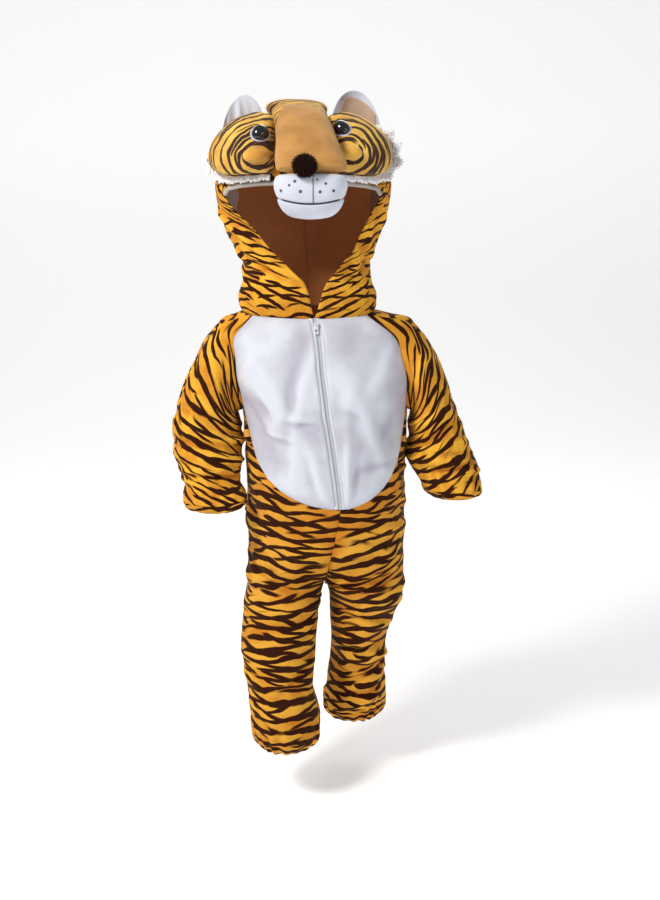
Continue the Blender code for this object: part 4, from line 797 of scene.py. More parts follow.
def centre_front_x(z):
    angle = math.radians(torso_value("twist", z))
    across = signed_power(math.sin(angle), 2.0 / SECTION_POWER)
    return torso_value("centre_x", z) + torso_value("half_width", z) * across


def zip_place(offset, z):
    """The side and the way round of a point that lies a distance across from the zip's line."""
    side = 1 if offset > 0 else -1
    half = torso_value("half_width", z)
    ratio = (centre_front_x(z) + offset - torso_value("centre_x", z)) / half
    angle = math.asin(signed_power(ratio, SECTION_POWER / 2.0))
    start = math.radians(torso_value("twist", z))
    if side > 0:
        return side, (angle - start) / (math.pi - start)
    return side, (start - angle) / (math.pi + start)


def zip_levels():
    """The levels of the panel's zip edge; the tapes and the chain use the same ones."""
    rows = ARM_JUNCTION + PANEL_STEPS // 2
    first_around, first_z = panel_curve(1)
    reach = zip_place(PANEL_EDGE, PANEL_TIP_Z)[1] / first_around
    end = PANEL_TIP_Z + (first_z - PANEL_TIP_Z) * reach + ZIP_END_LIFT
    return [neck_z(0.0) + (end - neck_z(0.0)) * i / rows for i in range(rows + 1)]


def belly_places(side):
    """A patch between the neck edge, the raglan seam, the curved lower edge and the zip."""
    half_panel = PANEL_STEPS // 2
    part = [k / NECK_FRONT_STEPS for k in range(NECK_FRONT_STEPS + 1)]
    neck = [RAGLAN_NECK * k / NECK_FRONT_STEPS for k in range(NECK_FRONT_STEPS + 1)]
    top = [(around, neck_z(around)) for around in neck]
    top[0] = (zip_place(side * PANEL_EDGE, neck_z(0.0))[1], top[0][1])
    low = [panel_curve(k) for k in range(half_panel + 1)]
    outer = [armhole(k, False) for k in range(ARM_JUNCTION + 1)]
    outer += [panel_curve(k) for k in range(PANEL_STEPS - 1, half_panel - 1, -1)]
    zip_side = [(zip_place(side * PANEL_EDGE, z)[1], z) for z in zip_levels()]
    low[0] = zip_side[-1]
    top, low, outer, zip_side = (np.array(edge) for edge in (top, low, outer, zip_side))
    places = []
    for i in range(len(outer)):
        v = i / (len(outer) - 1)
        row = []
        for j, u in enumerate(part):
            ruled_v = (1 - v) * top[j] + v * low[j]
            ruled_u = (1 - u) * zip_side[i] + u * outer[i]
            corners = (1 - u) * (1 - v) * top[0] + u * (1 - v) * top[-1]
            corners += (1 - u) * v * low[0] + u * v * low[-1]
            row.append(tuple(ruled_v + ruled_u - corners))
        places.append(row)
    return places


BELLY_FOLDS = (
    (-1, 0.095, -0.115, -2.9, 0.08, 0.011, -0.004),
    (-1, 0.058, -0.11, -2.9, 0.075, 0.009, 0.0028),
    (-1, 0.25, -0.143, 0.5, 0.024, 0.016, -0.0045),
    (-1, 0.215, -0.128, 1.6, 0.03, 0.006, 0.0022),
    (-1, 0.085, -0.163, 0.05, 0.02, 0.005, -0.0034),
    (-1, 0.08, -0.153, 0.05, 0.022, 0.006, 0.0024),
    (-1, 0.19, -0.189, 0.15, 0.034, 0.0036, -0.0022),
    (-1, 0.19, -0.181, 0.15, 0.034, 0.0046, 0.002),
    (-1, 0.046, -0.245, 9.0, 0.042, 0.007, 0.0034),
    (-1, 0.075, -0.24, 9.0, 0.04, 0.0065, -0.0024),
    (-1, 0.125, -0.235, -6.0, 0.04, 0.009, 0.0022),
    (-1, 0.13, -0.04, -1.0, 0.045, 0.012, 0.002),
    (-1, 0.24, -0.07, -1.4, 0.04, 0.01, 0.0024),
    (1, 0.018, -0.235, 9.0, 0.045, 0.0055, -0.0028),
    (1, 0.042, -0.23, 9.0, 0.05, 0.007, 0.0032),
    (1, 0.08, -0.245, 5.0, 0.035, 0.007, -0.002),
    (1, 0.06, -0.14, 3.0, 0.055, 0.01, 0.0022),
    (1, 0.11, -0.15, -0.4, 0.03, 0.008, -0.0018),
    (1, 0.165, -0.232, 0.2, 0.045, 0.008, -0.0022),
    (1, 0.2, -0.09, 1.5, 0.06, 0.014, 0.0024),
    (1, 0.24, -0.17, 1.2, 0.05, 0.012, -0.002),
)
BELLY_CRUMPLE = 1.35
BELLY_WANDER = (0.05, 0.0007)
# The panel's edge is folded over the tape of the zip and stands a little above it
HEM_LIFT = 0.0007


def fleece(name, light, shade, pile, strength):
    """Short brushed fleece with faint clouds in its colour, and painted light on its ridges and painted
    shade in its hollows.
    """
    made, make, shader = new_finish(name, 0.9, {"Sheen Weight": 0.35, "Sheen Roughness": 0.5})
    places = own_places(make)
    bump, fibres = pile_bump(make, places, pile, strength, pile * 0.8, 0.4)
    # The clouds carry the relief: painted light on ridges, painted shade in hollows.
    clouds = painted_relief_shade(make, noise(make, places, 13.0, 3.0), 60.0)
    ground = mixed(make, spread(make, clouds, 0.3, 0.62), shade, light)
    join(shader, speckled(make, ground, fibres, 0.93, 1.04), bump)
    return made


# On the belly the lilac grey is painted shade in the hollows of the folds, mixed with soft random clouds.
white_fleece = fleece("white_fleece", (0.7, 0.73, 0.81), (0.5, 0.49, 0.575), 0.0009, 0.25)
white_pile = fleece("white_pile", (0.97, 0.97, 0.98), (0.9, 0.9, 0.93), 0.0009, 0.2)
for side in SIDES:
    fine = refine(body_points(side, belly_places(side)), SPACING)
    points, around, level = fine[:, :, :3], fine[:, :, 3], fine[:, :, 4]
    tuck(points, False)
    near = from_edges(points, ("top", "right", "bottom"))
    folds = [row for row in BELLY_FOLDS + BODY_FOLDS if row[0] == side]
    heights = BELLY_CRUMPLE * bumps(folds, around, level, BODY_GIRTH) * fade_in(near, 0.018)
    heights *= fade_in(from_edges(points, ("left",)) + 0.002, 0.012)
    heights += unevenness(around * BODY_GIRTH, level, 21 + side, *BELLY_WANDER) * fade_in(near, STILL_EDGE)
    heights += seam_dip(near)
    heights += HEM_LIFT * np.exp(-(from_edges(points, ("left",)) / 0.006) ** 2)
    uv = np.stack((around * BODY_GIRTH, level), axis=2)
    name = "belly_" + SIDE_NAMES[side]
    sewn(name, "_fleece", points, heights, uv, (white_fleece,), "white_plush")

# Zip
# A white moulded zip: two woven tapes, two rows of small teeth that lock on the centre line, and
# a slider with a pull tab that swings on its lugs.
TAPE = 0.0012
CHAIN_HALF = 0.0024
TAPE_INNER = 0.0027
TAPE_OUTER = 0.0088
CHAIN_RAISE = 0.0006
SLIDER_Z = -0.013
SLIDER_SIZE = (0.008, 0.011, 0.0022)
LUG_SIZE = (0.0016, 0.0036, 0.003)
LUG_OFFSET = 0.0023
LUG_RISE = 0.003
SLIDER_LIFT = 0.0006
RIDGE_SIZE = (0.005, 0.008, 0.0004)
MOULD_ROUND = {"zip_slider_moulded": 0.00019, "zip_pull_moulded": 0.00028}
TAB_SIZE = (0.0056, 0.013, 0.0012)
TAB_NECK = (0.0024, 0.005, 0.0012)
BARREL_RADIUS = 0.0011
BARREL_WIDTH = 0.0026


FORWARD = np.array((0.0, -1.0, 0.0))


def out_of(lean):
    return np.array((0.0, -math.sin(lean), math.cos(lean)))


TOOTH_PITCH = 0.0019
TOOTH_SIZE = (0.0011, 0.0046, 0.0014)
TOOTH_OFFSET = 0.0006
STITCH_PITCH = 0.0036
STITCH_SIZE = (0.00055, 0.00055, 0.0025)


def strip_points(offsets, spacing):
    places = [[(offset, z) for offset in offsets] for z in zip_levels()]
    rows = [[body_base(*zip_place(offset, z), z) for offset, z in row] for row in places]
    return refine(np.array(rows), spacing)


def repeat_tree():
    """Sets one small shape on every point of a mesh, turned to its 'along' and 'out' vectors."""
    tree = bpy.data.node_groups.new("repeat a shape", "GeometryNodeTree")
    given = {"Geometry": "Geometry", "Size": "Vector", "Shape": "Int", "Unevenness": "Float"}
    for name, kind in {**given, "Seed": "Int", "Finish": "Material"}.items():
        tree.interface.new_socket(name, in_out="INPUT", socket_type="NodeSocket" + kind)
    tree.interface.new_socket("Geometry", in_out="OUTPUT", socket_type="NodeSocketGeometry")
    make = node_maker(tree)
    given = make("NodeGroupInput").outputs
    cone = {"Vertices": 5, "Side Segments": 2, "Radius Top": 0.12, "Radius Bottom": 0.5, "Depth": 1.0}
    shapes = (
        make("GeometryNodeMeshUVSphere", {"Segments": 6, "Rings": 4, "Radius": 0.5}),
        make("GeometryNodeMeshCube", {"Size": (1.0, 1.0, 1.0)}),
        make("GeometryNodeMeshCone", cone),
        make("GeometryNodeMeshUVSphere", {"Segments": 18, "Rings": 8, "Radius": 0.5}),
    )
    chosen = make("GeometryNodeIndexSwitch", {}, {0: given["Shape"]}, data_type="GEOMETRY")
    chosen.index_switch_items.new()
    chosen.index_switch_items.new()
    for number, source in enumerate(shapes):
        tree.links.new(source.outputs["Mesh"], chosen.inputs[1 + number])
    along, out = (
        make("GeometryNodeInputNamedAttribute", {"Name": name}, data_type="FLOAT_VECTOR").outputs[0]
        for name in ("along", "out")
    )
    turned = make("FunctionNodeAlignRotationToVector", {}, {"Vector": along}, axis="Z").outputs["Rotation"]
    faced = {"Rotation": turned, "Vector": out}
    faced = make("FunctionNodeAlignRotationToVector", {}, faced, axis="Y", pivot_axis="Z")
    low, high = (
        make("ShaderNodeMath", {0: 1.0}, {1: given["Unevenness"]}, operation=way).outputs["Value"]
        for way in ("SUBTRACT", "ADD")
    )
    draw = make("FunctionNodeRandomValue", {}, {2: low, 3: high, "Seed": given["Seed"]}, data_type="FLOAT")
    size = make("ShaderNodeVectorMath", {}, {0: given["Size"], 3: draw.outputs[1]}, operation="SCALE")
    put = {"Points": given["Geometry"], "Instance": chosen.outputs[0]}
    put = {**put, "Rotation": faced.outputs["Rotation"], "Scale": size.outputs["Vector"]}
    put = make("GeometryNodeInstanceOnPoints", {}, put)
    real = make("GeometryNodeRealizeInstances", {}, {"Geometry": put.outputs["Instances"]})
    finish = {"Geometry": real.outputs["Geometry"], "Material": given["Finish"]}
    finish = make("GeometryNodeSetMaterial", {}, finish)
    make("NodeGroupOutput", {}, {"Geometry": finish.outputs["Geometry"]})
    return tree


repeat_shape = repeat_tree()
SHAPES = {"ball": 0, "block": 1, "tuft": 2, "dot": 3}
SHAPE_SEED = 11


def repeated(name, points, alongs, outs, shape, size, uneven, finish):
    """A piece made of one small shape, set along and facing out at each of the points."""
    mesh = bpy.data.meshes.new(name + "_places")
    mesh.from_pydata([tuple(p) for p in points], [], [])
    set_attribute(mesh, "along", "FLOAT_VECTOR", alongs)
    set_attribute(mesh, "out", "FLOAT_VECTOR", outs)
    holder = link(mesh, name + "_places")
    modifier = holder.modifiers.new("repeat", "NODES")
    modifier.node_group = repeat_shape
    given = {"Size": size, "Shape": SHAPES[shape], "Unevenness": uneven, "Seed": SHAPE_SEED}
    given["Finish"] = finish
    for item in repeat_shape.interface.items_tree:
        if item.in_out == "INPUT" and item.name in given:
            modifier[item.identifier] = given[item.name]
    view = bpy.context.evaluated_depsgraph_get()
    made = bpy.data.meshes.new_from_object(holder.evaluated_get(view))
    made.name = name
    bpy.data.objects.remove(holder, do_unlink=True)
    if shape != "block":
        made.shade_smooth()
    return link(made, name)


def evenly_along(path, outs, pitch):
    """Even places along a path, with the way along and the way out at each."""
    lengths = np.concatenate(([0.0], np.cumsum(np.linalg.norm(np.diff(path, axis=0), axis=1))))
    count = int(lengths[-1] / pitch)
    at = (np.arange(count) + 0.5) * lengths[-1] / count
    found, out = (
        np.stack([np.interp(at, lengths, values[:, axis]) for axis in range(3)], axis=1)
        for values in (path, outs)
    )
    return found, np.gradient(found, axis=0), out


def stitch_line(name, path, outs, lift, finish, pitch=STITCH_PITCH, size=STITCH_SIZE):
    found, along, out = evenly_along(path, outs, pitch)
    out = flat_unit(out)
    return repeated(name, found + out * lift, along, out, "ball", size, 0.08, finish)


def smooth_plastic(name, colour, rough, thread=0.0):
    """Moulded plastic, or a spun thread where thread is over 0."""
    made, make, shader = new_finish(name, rough)
    grain = noise(make, own_places(make), 900.0, 2.0).outputs["Fac"]
    bump = make("ShaderNodeBump", {"Strength": 0.1 + thread, "Distance": 0.0002}, {"Height": grain})
    join(shader, mixed(make, grain, tuple(c * 0.9 for c in colour), colour), bump)
    return made


def woven_tape(name, colour):
    """A narrow ribbed tape: fine ribs across its length."""
    made = plain_material(name, colour, 0.8)
    make = node_maker(made.node_tree)
    cloth = {"Vector": make("ShaderNodeUVMap", uv_map="cloth").outputs["UV"]}
    wave = {"Scale": 330.0, "Distortion": 0.6, "Detail": 1.0}
    ribs = make("ShaderNodeTexWave", wave, cloth, bands_direction="Y").outputs["Fac"]
    bump = make("ShaderNodeBump", {"Strength": 0.5, "Distance": 0.0003}, {"Height": ribs})
    made.node_tree.links.new(bump.outputs["Normal"], shader_of(made).inputs["Normal"])
    return made


tape_finish = woven_tape("zip_tape_weave", (0.74, 0.76, 0.83))
tooth_finish = smooth_plastic("zip_white_moulded", (0.72, 0.75, 0.82), 0.32)
thread_white = smooth_plastic("white_thread", (0.7, 0.71, 0.78), 0.6, 0.5)
for side in SIDES:
    offsets = [side * TAPE_INNER, side * 0.5 * (TAPE_INNER + TAPE_OUTER), side * TAPE_OUTER]
    points = strip_points(offsets, 0.0022)
    out = facing(sheet_normals(points), FORWARD)
    down = np.cumsum(np.linalg.norm(np.diff(points[:, 0], axis=0, prepend=points[:1, 0]), axis=1))
    spots = np.linspace(0.0, TAPE_OUTER - TAPE_INNER, points.shape[1])
    uv = np.stack(np.broadcast_arrays(spots[None, :], down[:, None]), axis=2)
    name = "zip_tape_" + SIDE_NAMES[side]
    flat_heights = np.zeros(points.shape[:2])
    piece = shell(name + "_woven", points, points - out * TAPE, uv, (tape_finish,), flat_heights)
    settle(piece, name, "zip_tape")
    cut_sheet(piece, points)
    stitches = "zip_seam_stitches_" + SIDE_NAMES[side]
    trim(stitch_line(stitches, points[:, -2], out[:, -2], 0.0001, thread_white))

chain = strip_points([-CHAIN_HALF, 0.0004, CHAIN_HALF], 0.0012)
middle = chain[:, chain.shape[1] // 2]
out = facing(sheet_normals(chain)[:, chain.shape[1] // 2], FORWARD)
found, along, out = evenly_along(middle, out, TOOTH_PITCH)
across = flat_unit(np.cross(along, out))
swap = np.where(np.arange(len(found)) % 2 == 0, 1.0, -1.0)[:, None]
found = found + across * swap * TOOTH_OFFSET + out * (0.5 * CHAIN_RAISE - 0.0003)
teeth = repeated("zip_teeth", found, along, across, "block", TOOTH_SIZE, 0.03, tooth_finish)
settle(teeth, "zip_chain", "zip_white")


def bevelled_blocks(name, blocks, lean, place, finish, bar=None):
    """Moulded blocks with rounded edges in one mesh, each a size and a middle.

    The bar, a radius and a length, lies across at the middle.
    """
    built = bmesh.new()
    for size, middle_at in blocks:
        made = bmesh.ops.create_cube(built, size=1.0)
        for vertex in made["verts"]:
            vertex.co = [c * s + m for c, s, m in zip(vertex.co, size, middle_at)]
        edges = list(dict.fromkeys(edge for vertex in made["verts"] for edge in vertex.link_edges))
        rounding = {"offset": MOULD_ROUND[name], "segments": 3, "profile": 0.5}
        bmesh.ops.bevel(built, geom=edges, affect="EDGES", **rounding)
    if bar:
        lying = Matrix.Rotation(0.5 * math.pi, 4, "Y")
        shape = {"segments": 24, "radius1": bar[0], "radius2": bar[0], "depth": bar[1]}
        bmesh.ops.create_cone(built, cap_ends=True, matrix=lying, **shape)
    turn = Matrix.Translation(tuple(place)) @ Matrix.Rotation(lean, 4, "X")
    bmesh.ops.transform(built, matrix=turn, verts=built.verts)
    mesh = bpy.data.meshes.new(name)
    built.to_mesh(mesh)
    built.free()
    mesh.materials.append(finish)
    mesh.shade_smooth()
    return link(mesh, name)


first_z, second_z = zip_levels()[:2]
top, low = (body_base(1, 0.0, z) for z in (first_z, second_z))
seat = top + (low - top) * (SLIDER_Z - first_z) / (second_z - first_z)
lean = math.atan2(top[2] - low[2], top[1] - low[1])
base_height = CHAIN_RAISE + SLIDER_LIFT
lug_z = base_height + SLIDER_SIZE[2] + 0.5 * LUG_SIZE[2] - 0.0002
plate = [(SLIDER_SIZE, (0.0, 0.0, base_height + 0.5 * SLIDER_SIZE[2]))]
plate.append((RIDGE_SIZE, (0.0, -0.0006, base_height + SLIDER_SIZE[2])))
plate += [(LUG_SIZE, (turn * LUG_OFFSET, LUG_RISE, lug_z)) for turn in (-1, 1)]
slider = bevelled_blocks("zip_slider_moulded", plate, lean, seat, tooth_finish)
settle(slider, "zip_slider", "zip_white")
axis_height = base_height + SLIDER_SIZE[2] + 0.0003 + BARREL_RADIUS
axis_place = seat + out_of(lean) * axis_height + np.array((0.0, math.cos(lean), math.sin(lean))) * LUG_RISE
tab_middle = -0.5 * TAB_SIZE[1] - TAB_NECK[1] + 0.001
rail, rail_length, bridge, foot = 0.0014, 0.007, 0.0052, 0.0022
tab_low = tab_middle - 0.5 * TAB_SIZE[1]
tab_high = tab_middle + 0.5 * TAB_SIZE[1]
tab = [(TAB_NECK, (0.0, -0.5 * TAB_NECK[1], 0.0))]
tab.append(((TAB_SIZE[0], bridge, TAB_SIZE[2]), (0.0, tab_high - 0.5 * bridge, 0.0)))
for turn in (-1, 1):
    rail_place = (turn * 0.5 * (TAB_SIZE[0] - rail), tab_low + 0.005, 0.0)
    tab.append(((rail, rail_length, TAB_SIZE[2]), rail_place))
tab.append(((TAB_SIZE[0], foot, TAB_SIZE[2]), (0.0, tab_low + 0.5 * foot, 0.0)))
barrel = (BARREL_RADIUS, BARREL_WIDTH)
pull = bevelled_blocks("zip_pull_moulded", tab, lean, axis_place, tooth_finish, barrel)
settle(pull, "zip_pull", "zip_white")

# Sleeves
# Raglan sleeves of the same striped plush, one tube each with a seam under the arm. They crumple
# at the elbow and puff out over the elastic of the cuff.
# Each ring: the place of its inner and its outer line across and up, its centre back, its depth
SLEEVES = {
    -1: (
        (-0.1155, -0.158, -0.13, -0.003, -0.002, 0.056),
        (-0.1165, -0.161, -0.147, -0.018, -0.002, 0.06),
        (-0.1155, -0.164, -0.165, -0.04, -0.002, 0.063),
        (-0.1135, -0.167, -0.18, -0.067, -0.002, 0.066),
        (-0.112, -0.172, -0.195, -0.095, -0.003, 0.066),
        (-0.1105, -0.179, -0.206, -0.122, -0.006, 0.066),
        (-0.1095, -0.189, -0.213, -0.147, -0.01, 0.066),
        (-0.1085, -0.202, -0.2155, -0.172, -0.016, 0.064),
        (-0.108, -0.217, -0.2155, -0.197, -0.024, 0.062),
        (-0.108, -0.232, -0.214, -0.22, -0.033, 0.058),
        (-0.1105, -0.246, -0.208, -0.24, -0.043, 0.053),
        (-0.112, -0.256, -0.201, -0.254, -0.052, 0.048),
        (-0.109, -0.267, -0.198, -0.267, -0.059, 0.045),
        (-0.101, -0.278, -0.2, -0.28, -0.066, 0.046),
        (-0.0975, -0.2895, -0.1975, -0.292, -0.072, 0.046),
    ),
    1: (
        (0.1705, -0.158, 0.157, -0.003, 0.0, 0.055),
        (0.171, -0.161, 0.173, -0.014, 0.0, 0.059),
        (0.17, -0.164, 0.19, -0.034, 0.0, 0.063),
        (0.1675, -0.167, 0.204, -0.059, 0.002, 0.066),
        (0.1665, -0.172, 0.218, -0.087, 0.002, 0.066),
        (0.1655, -0.179, 0.229, -0.115, 0.001, 0.066),
        (0.165, -0.189, 0.237, -0.142, -0.001, 0.064),
        (0.1645, -0.202, 0.245, -0.168, -0.004, 0.062),
        (0.165, -0.216, 0.254, -0.192, -0.008, 0.06),
        (0.1665, -0.23, 0.264, -0.213, -0.012, 0.058),
        (0.169, -0.243, 0.272, -0.232, -0.016, 0.055),
        (0.173, -0.253, 0.277, -0.246, -0.02, 0.052),
        (0.179, -0.262, 0.279, -0.257, -0.024, 0.049),
        (0.185, -0.271, 0.2815, -0.268, -0.027, 0.047),
        (0.188, -0.28, 0.283, -0.279, -0.03, 0.046),
    ),
}
# Folds: side, way round, row, lean, half length, half width, height
SLEEVE_FOLDS = (
    (-1, 0.2, 4.0, 1.2, 0.3, 0.9, 0.003),
    (-1, 0.1, 8.0, -1.0, 0.34, 0.65, 0.005),
    (-1, 0.25, 10.2, 1.0, 0.32, 0.6, 0.0048),
    (-1, 0.8, 9.0, 0.8, 0.3, 0.7, 0.0045),
    (-1, 0.65, 11.5, -0.9, 0.3, 0.6, 0.004),
    (1, 0.18, 4.5, -1.2, 0.3, 0.9, 0.003),
    (1, 0.12, 8.5, 1.1, 0.34, 0.65, 0.0045),
    (1, 0.28, 10.6, -1.0, 0.32, 0.6, 0.0045),
    (1, 0.78, 9.3, -0.8, 0.3, 0.7, 0.0045),
    (1, 0.62, 11.8, 0.9, 0.3, 0.6, 0.004),
)


def ring_turn(k):
    """The angle of ring column k: 0 is the outer line of the arm, a quarter turn its front."""
    shoulder = math.radians(24.0)
    if k <= ARM_STEPS:
        return shoulder + (math.pi - shoulder) * k / ARM_STEPS
    if k <= 2 * ARM_STEPS:
        return math.pi + (math.pi - shoulder) * (k - ARM_STEPS) / ARM_STEPS
    part = (k - 2 * ARM_STEPS) / NECK_SLEEVE_STEPS
    return 2 * math.pi - shoulder + 2.0 * shoulder * part


def ring_bumps(rows, side, turn, row_at):
    """The summed height of the folds of one side at a turn and a row of the sleeve."""
    total = np.zeros_like(turn)
    for fold_side, at_turn, at_row, lean, half_length, half_width, height in rows:
        if fold_side == side:
            gap = (turn - at_turn + 0.5) % 1.0 - 0.5
            rise = row_at - at_row - lean * gap * 4.0
            total += height * np.exp(-((gap / half_length) ** 2 + (rise / half_width) ** 2))
    return total


def sleeve_ring(side, row):
    """One ring of the sleeve, from the front end of the neck edge down the front seam."""
    inner_x, inner_z, outer_x, outer_z, centre_y, deep = SLEEVES[side][row - 1]
    inner, outer = np.array((inner_x, 0.0, inner_z)), np.array((outer_x, 0.0, outer_z))
    centre = 0.5 * (inner + outer) + np.array((0.0, centre_y, 0.0))
    across = 0.5 * (outer - inner)
    points = []
    for k in range(2 * ARM_STEPS + NECK_SLEEVE_STEPS):
        turn = ring_turn(k)
        fold = float(ring_bumps(SLEEVE_FOLDS, side, np.array(turn / (2 * math.pi)), row))
        away = across * math.cos(turn) + np.array((0.0, -deep * math.sin(turn), 0.0))
        points.append(centre + away + unit(away) * fold)
    return points


def sleeve_seam(side):
    """The places of the sleeve's first ring on the body: raglan front, raglan back and neck edge."""
    places = [armhole(k, False) for k in range(ARM_STEPS + 1)]
    places += [armhole(k, True) for k in range(ARM_STEPS - 1, -1, -1)]
    for k in range(1, NECK_SLEEVE_STEPS):
        around = 1.0 - RAGLAN_NECK + (2 * RAGLAN_NECK - 1.0) * k / NECK_SLEEVE_STEPS
        places.append((around, neck_z(around)))
    return places


SLEEVE_GIRTH = 0.38
SLEEVE_GATHERS = 13
SLEEVE_CRUMPLE = 2.3
SLEEVE_WANDER = (0.05, 0.001)
SLEEVE_GATHER_RISE = 0.024
# More creases: side, way round, row, lean, half length, half width, height
SLEEVE_CREASES = (
    (-1, 0.25, 7.4, 0.5, 0.16, 0.34, 0.0026),
    (-1, 0.15, 8.9, -0.6, 0.14, 0.3, -0.003),
    (-1, 0.32, 9.4, 0.7, 0.13, 0.28, 0.003),
    (-1, 0.2, 10.9, -0.5, 0.16, 0.3, 0.003),
    (-1, 0.36, 11.4, 0.4, 0.12, 0.26, -0.0028),
    (-1, 0.1, 12.2, 0.3, 0.12, 0.3, 0.0024),
    (-1, 0.42, 7.9, -0.4, 0.12, 0.3, 0.0028),
    (-1, 0.45, 9.9, 0.4, 0.1, 0.26, 0.0028),
    (-1, 0.28, 5.6, 0.9, 0.14, 0.4, 0.0022),
    (-1, 0.18, 2.6, 1.6, 0.16, 0.6, 0.002),
    (-1, 0.62, 8.2, 0.5, 0.16, 0.34, 0.003),
    (-1, 0.78, 10.6, -0.6, 0.14, 0.32, 0.003),
    (-1, 0.72, 6.6, 0.5, 0.15, 0.4, 0.0026),
    (-1, 0.9, 7.5, -0.4, 0.14, 0.34, -0.0026),
    (1, 0.22, 7.0, -0.5, 0.16, 0.36, 0.0026),
    (1, 0.3, 8.4, 0.6, 0.13, 0.3, -0.003),
    (1, 0.16, 9.4, -0.5, 0.14, 0.3, 0.003),
    (1, 0.34, 10.2, -0.6, 0.14, 0.28, 0.003),
    (1, 0.2, 11.3, 0.5, 0.15, 0.28, -0.003),
    (1, 0.12, 12.3, -0.3, 0.12, 0.3, 0.0026),
    (1, 0.42, 8.9, 0.4, 0.12, 0.28, 0.0028),
    (1, 0.4, 6.0, -0.7, 0.13, 0.36, 0.0024),
    (1, 0.18, 3.0, -1.5, 0.16, 0.6, 0.002),
    (1, 0.65, 8.6, -0.5, 0.16, 0.34, 0.003),
    (1, 0.8, 10.2, 0.6, 0.14, 0.32, 0.003),
    (1, 0.74, 6.4, -0.5, 0.15, 0.4, 0.0026),
    (1, 0.9, 7.6, 0.4, 0.14, 0.34, -0.0026),
)
sleeve_plush = striped_plush("striped_plush_sleeve", GOLD, 0.018, 0.0, 0.432, 3.1)
sleeve_ends = {}
for side in SIDES:
    seam = [body_base(side, around, z) for around, z in sleeve_seam(side)]
    rows = [seam] + [sleeve_ring(side, row) for row in range(1, len(SLEEVES[side]) + 1)]
    turns = [ring_turn(k) for k in range(len(seam))]
    grid = np.array([[(*point, number) for point in row] for number, row in enumerate(rows)])
    fine = refine(grid, SPACING, True)
    points, row_at = fine[:, :, :3], fine[:, :, 3]
    columns = points.shape[1]
    steps = np.linspace(0.0, 1.0, columns, endpoint=False)
    coarse = np.array(turns + [turns[0] + 2 * math.pi]) / (2 * math.pi)
    turn = np.interp(steps * len(turns), np.arange(len(turns) + 1), coarse) % 1.0
    turn = np.broadcast_to(turn, points.shape[:2])
    tuck(points)
    near = from_edges(points, ("top",))
    heights = SLEEVE_CRUMPLE * ring_bumps(SLEEVE_CREASES, side, turn, row_at) * fade_in(near, 0.03)
    walk = run_down(points)
    round_x, round_y = (0.06 * trace(2 * math.pi * steps) for trace in (np.cos, np.sin))
    wander = unevenness(walk + round_x, walk * 0.3 + round_y, 31 + side, *SLEEVE_WANDER)
    heights += wander * fade_in(near, STILL_EDGE)
    to_end = walk[-1:] - walk
    heights += GATHER_DEPTH * np.exp(-(to_end / SLEEVE_GATHER_RISE) ** 2) * gather_wave(turn, SLEEVE_GATHERS)
    heights += seam_dip(near)
    down = 0.3 * walk + 0.7 * walk.mean(axis=1, keepdims=True)
    down = np.concatenate((down, down[:, :1]), axis=1)
    spots = np.broadcast_to(np.linspace(0.0, SLEEVE_GIRTH, columns + 1), down.shape)
    uv = np.stack((spots + 1.7 + side, -down), axis=2)
    name = "sleeve_" + SIDE_NAMES[side]
    finishes = (sleeve_plush, body_reverse)
    moved = sewn(name, "_plush", points, heights, uv, finishes, "striped_plush", True)
    sleeve_ends[side] = (moved[-1], turn[-1], moved[-1].mean(axis=0), moved[-12].mean(axis=0))

# Elastic cuffs and ankles
# The ends of the sleeves and legs are turned in over a flat elastic and sewn, which gathers the
# plush into small folds.
# Each ring of a casing: how far down, its scale, the height of its gathers
ANKLE_CASING = (
    (0.0, 1.0, 0.0),
    (0.01, 0.93, 0.0014),
    (0.018, 0.82, 0.0022),
    (0.021, 0.76, 0.0018),
)
WRIST_CASING = (
    (0.0, 1.0, 0.0),
    (0.007, 0.93, 0.0016),
    (0.013, 0.81, 0.0024),
    (0.015, 0.72, 0.0018),
)


def casing(node, ring, around, centre, down, table, count, uv_start):
    """The gathered end of a sleeve or a leg: rings that draw in and down over the elastic."""
    table = smooth_through(np.array(table), [4] * (len(table) - 1), False)
    ring = smooth_through(ring, [3] * len(ring), True)
    around = smooth_through(np.unwrap(2 * math.pi * np.append(around, around[0])), [3] * len(around), False)
    around = around[:-1] / (2 * math.pi)
    away = ring - centre
    flat = flat_unit(away - np.outer(away @ down, down))
    rows = []
    for drop, scale, wave in table:
        ripple = wave * gather_wave(around, count)
        rows.append(centre + away * scale + flat * ripple[:, None] + down * drop)
    points = np.array(rows)
    run = np.cumsum(np.linalg.norm(np.diff(points, axis=0, prepend=points[:1]), axis=2).mean(axis=1))
    spots = np.linspace(0.0, 0.36, len(ring) + 1)
    uv = np.stack(np.broadcast_arrays(spots[None, :] + uv_start, -run[:, None]), axis=2)
    still = np.zeros(points.shape[:2])
    finishes = (body_plush_painted_shade, body_reverse)
    sewn(node, "_plush", points, still, uv, finishes, "striped_plush", True, PLUSH * 0.9)


for side in SIDES:
    ring, around, centre, before = sleeve_ends[side]
    along = unit(centre - before)
    node = "wrist_casing_" + SIDE_NAMES[side]
    casing(node, ring, around, centre, along, WRIST_CASING, SLEEVE_GATHERS, 3.3)
    (front_ring, front_around), (back_ring, back_around) = leg_ends[side]
    ring = np.concatenate((front_ring[:-1], back_ring[:-1]))
    around = np.concatenate((front_around[:-1], back_around[:-1]))
    node = "ankle_casing_" + SIDE_NAMES[side]
    down = np.array((0.0, 0.0, -1.0))
    casing(node, ring, around, ring.mean(axis=0), down, ANKLE_CASING, LEG_GATHERS, 4.1)

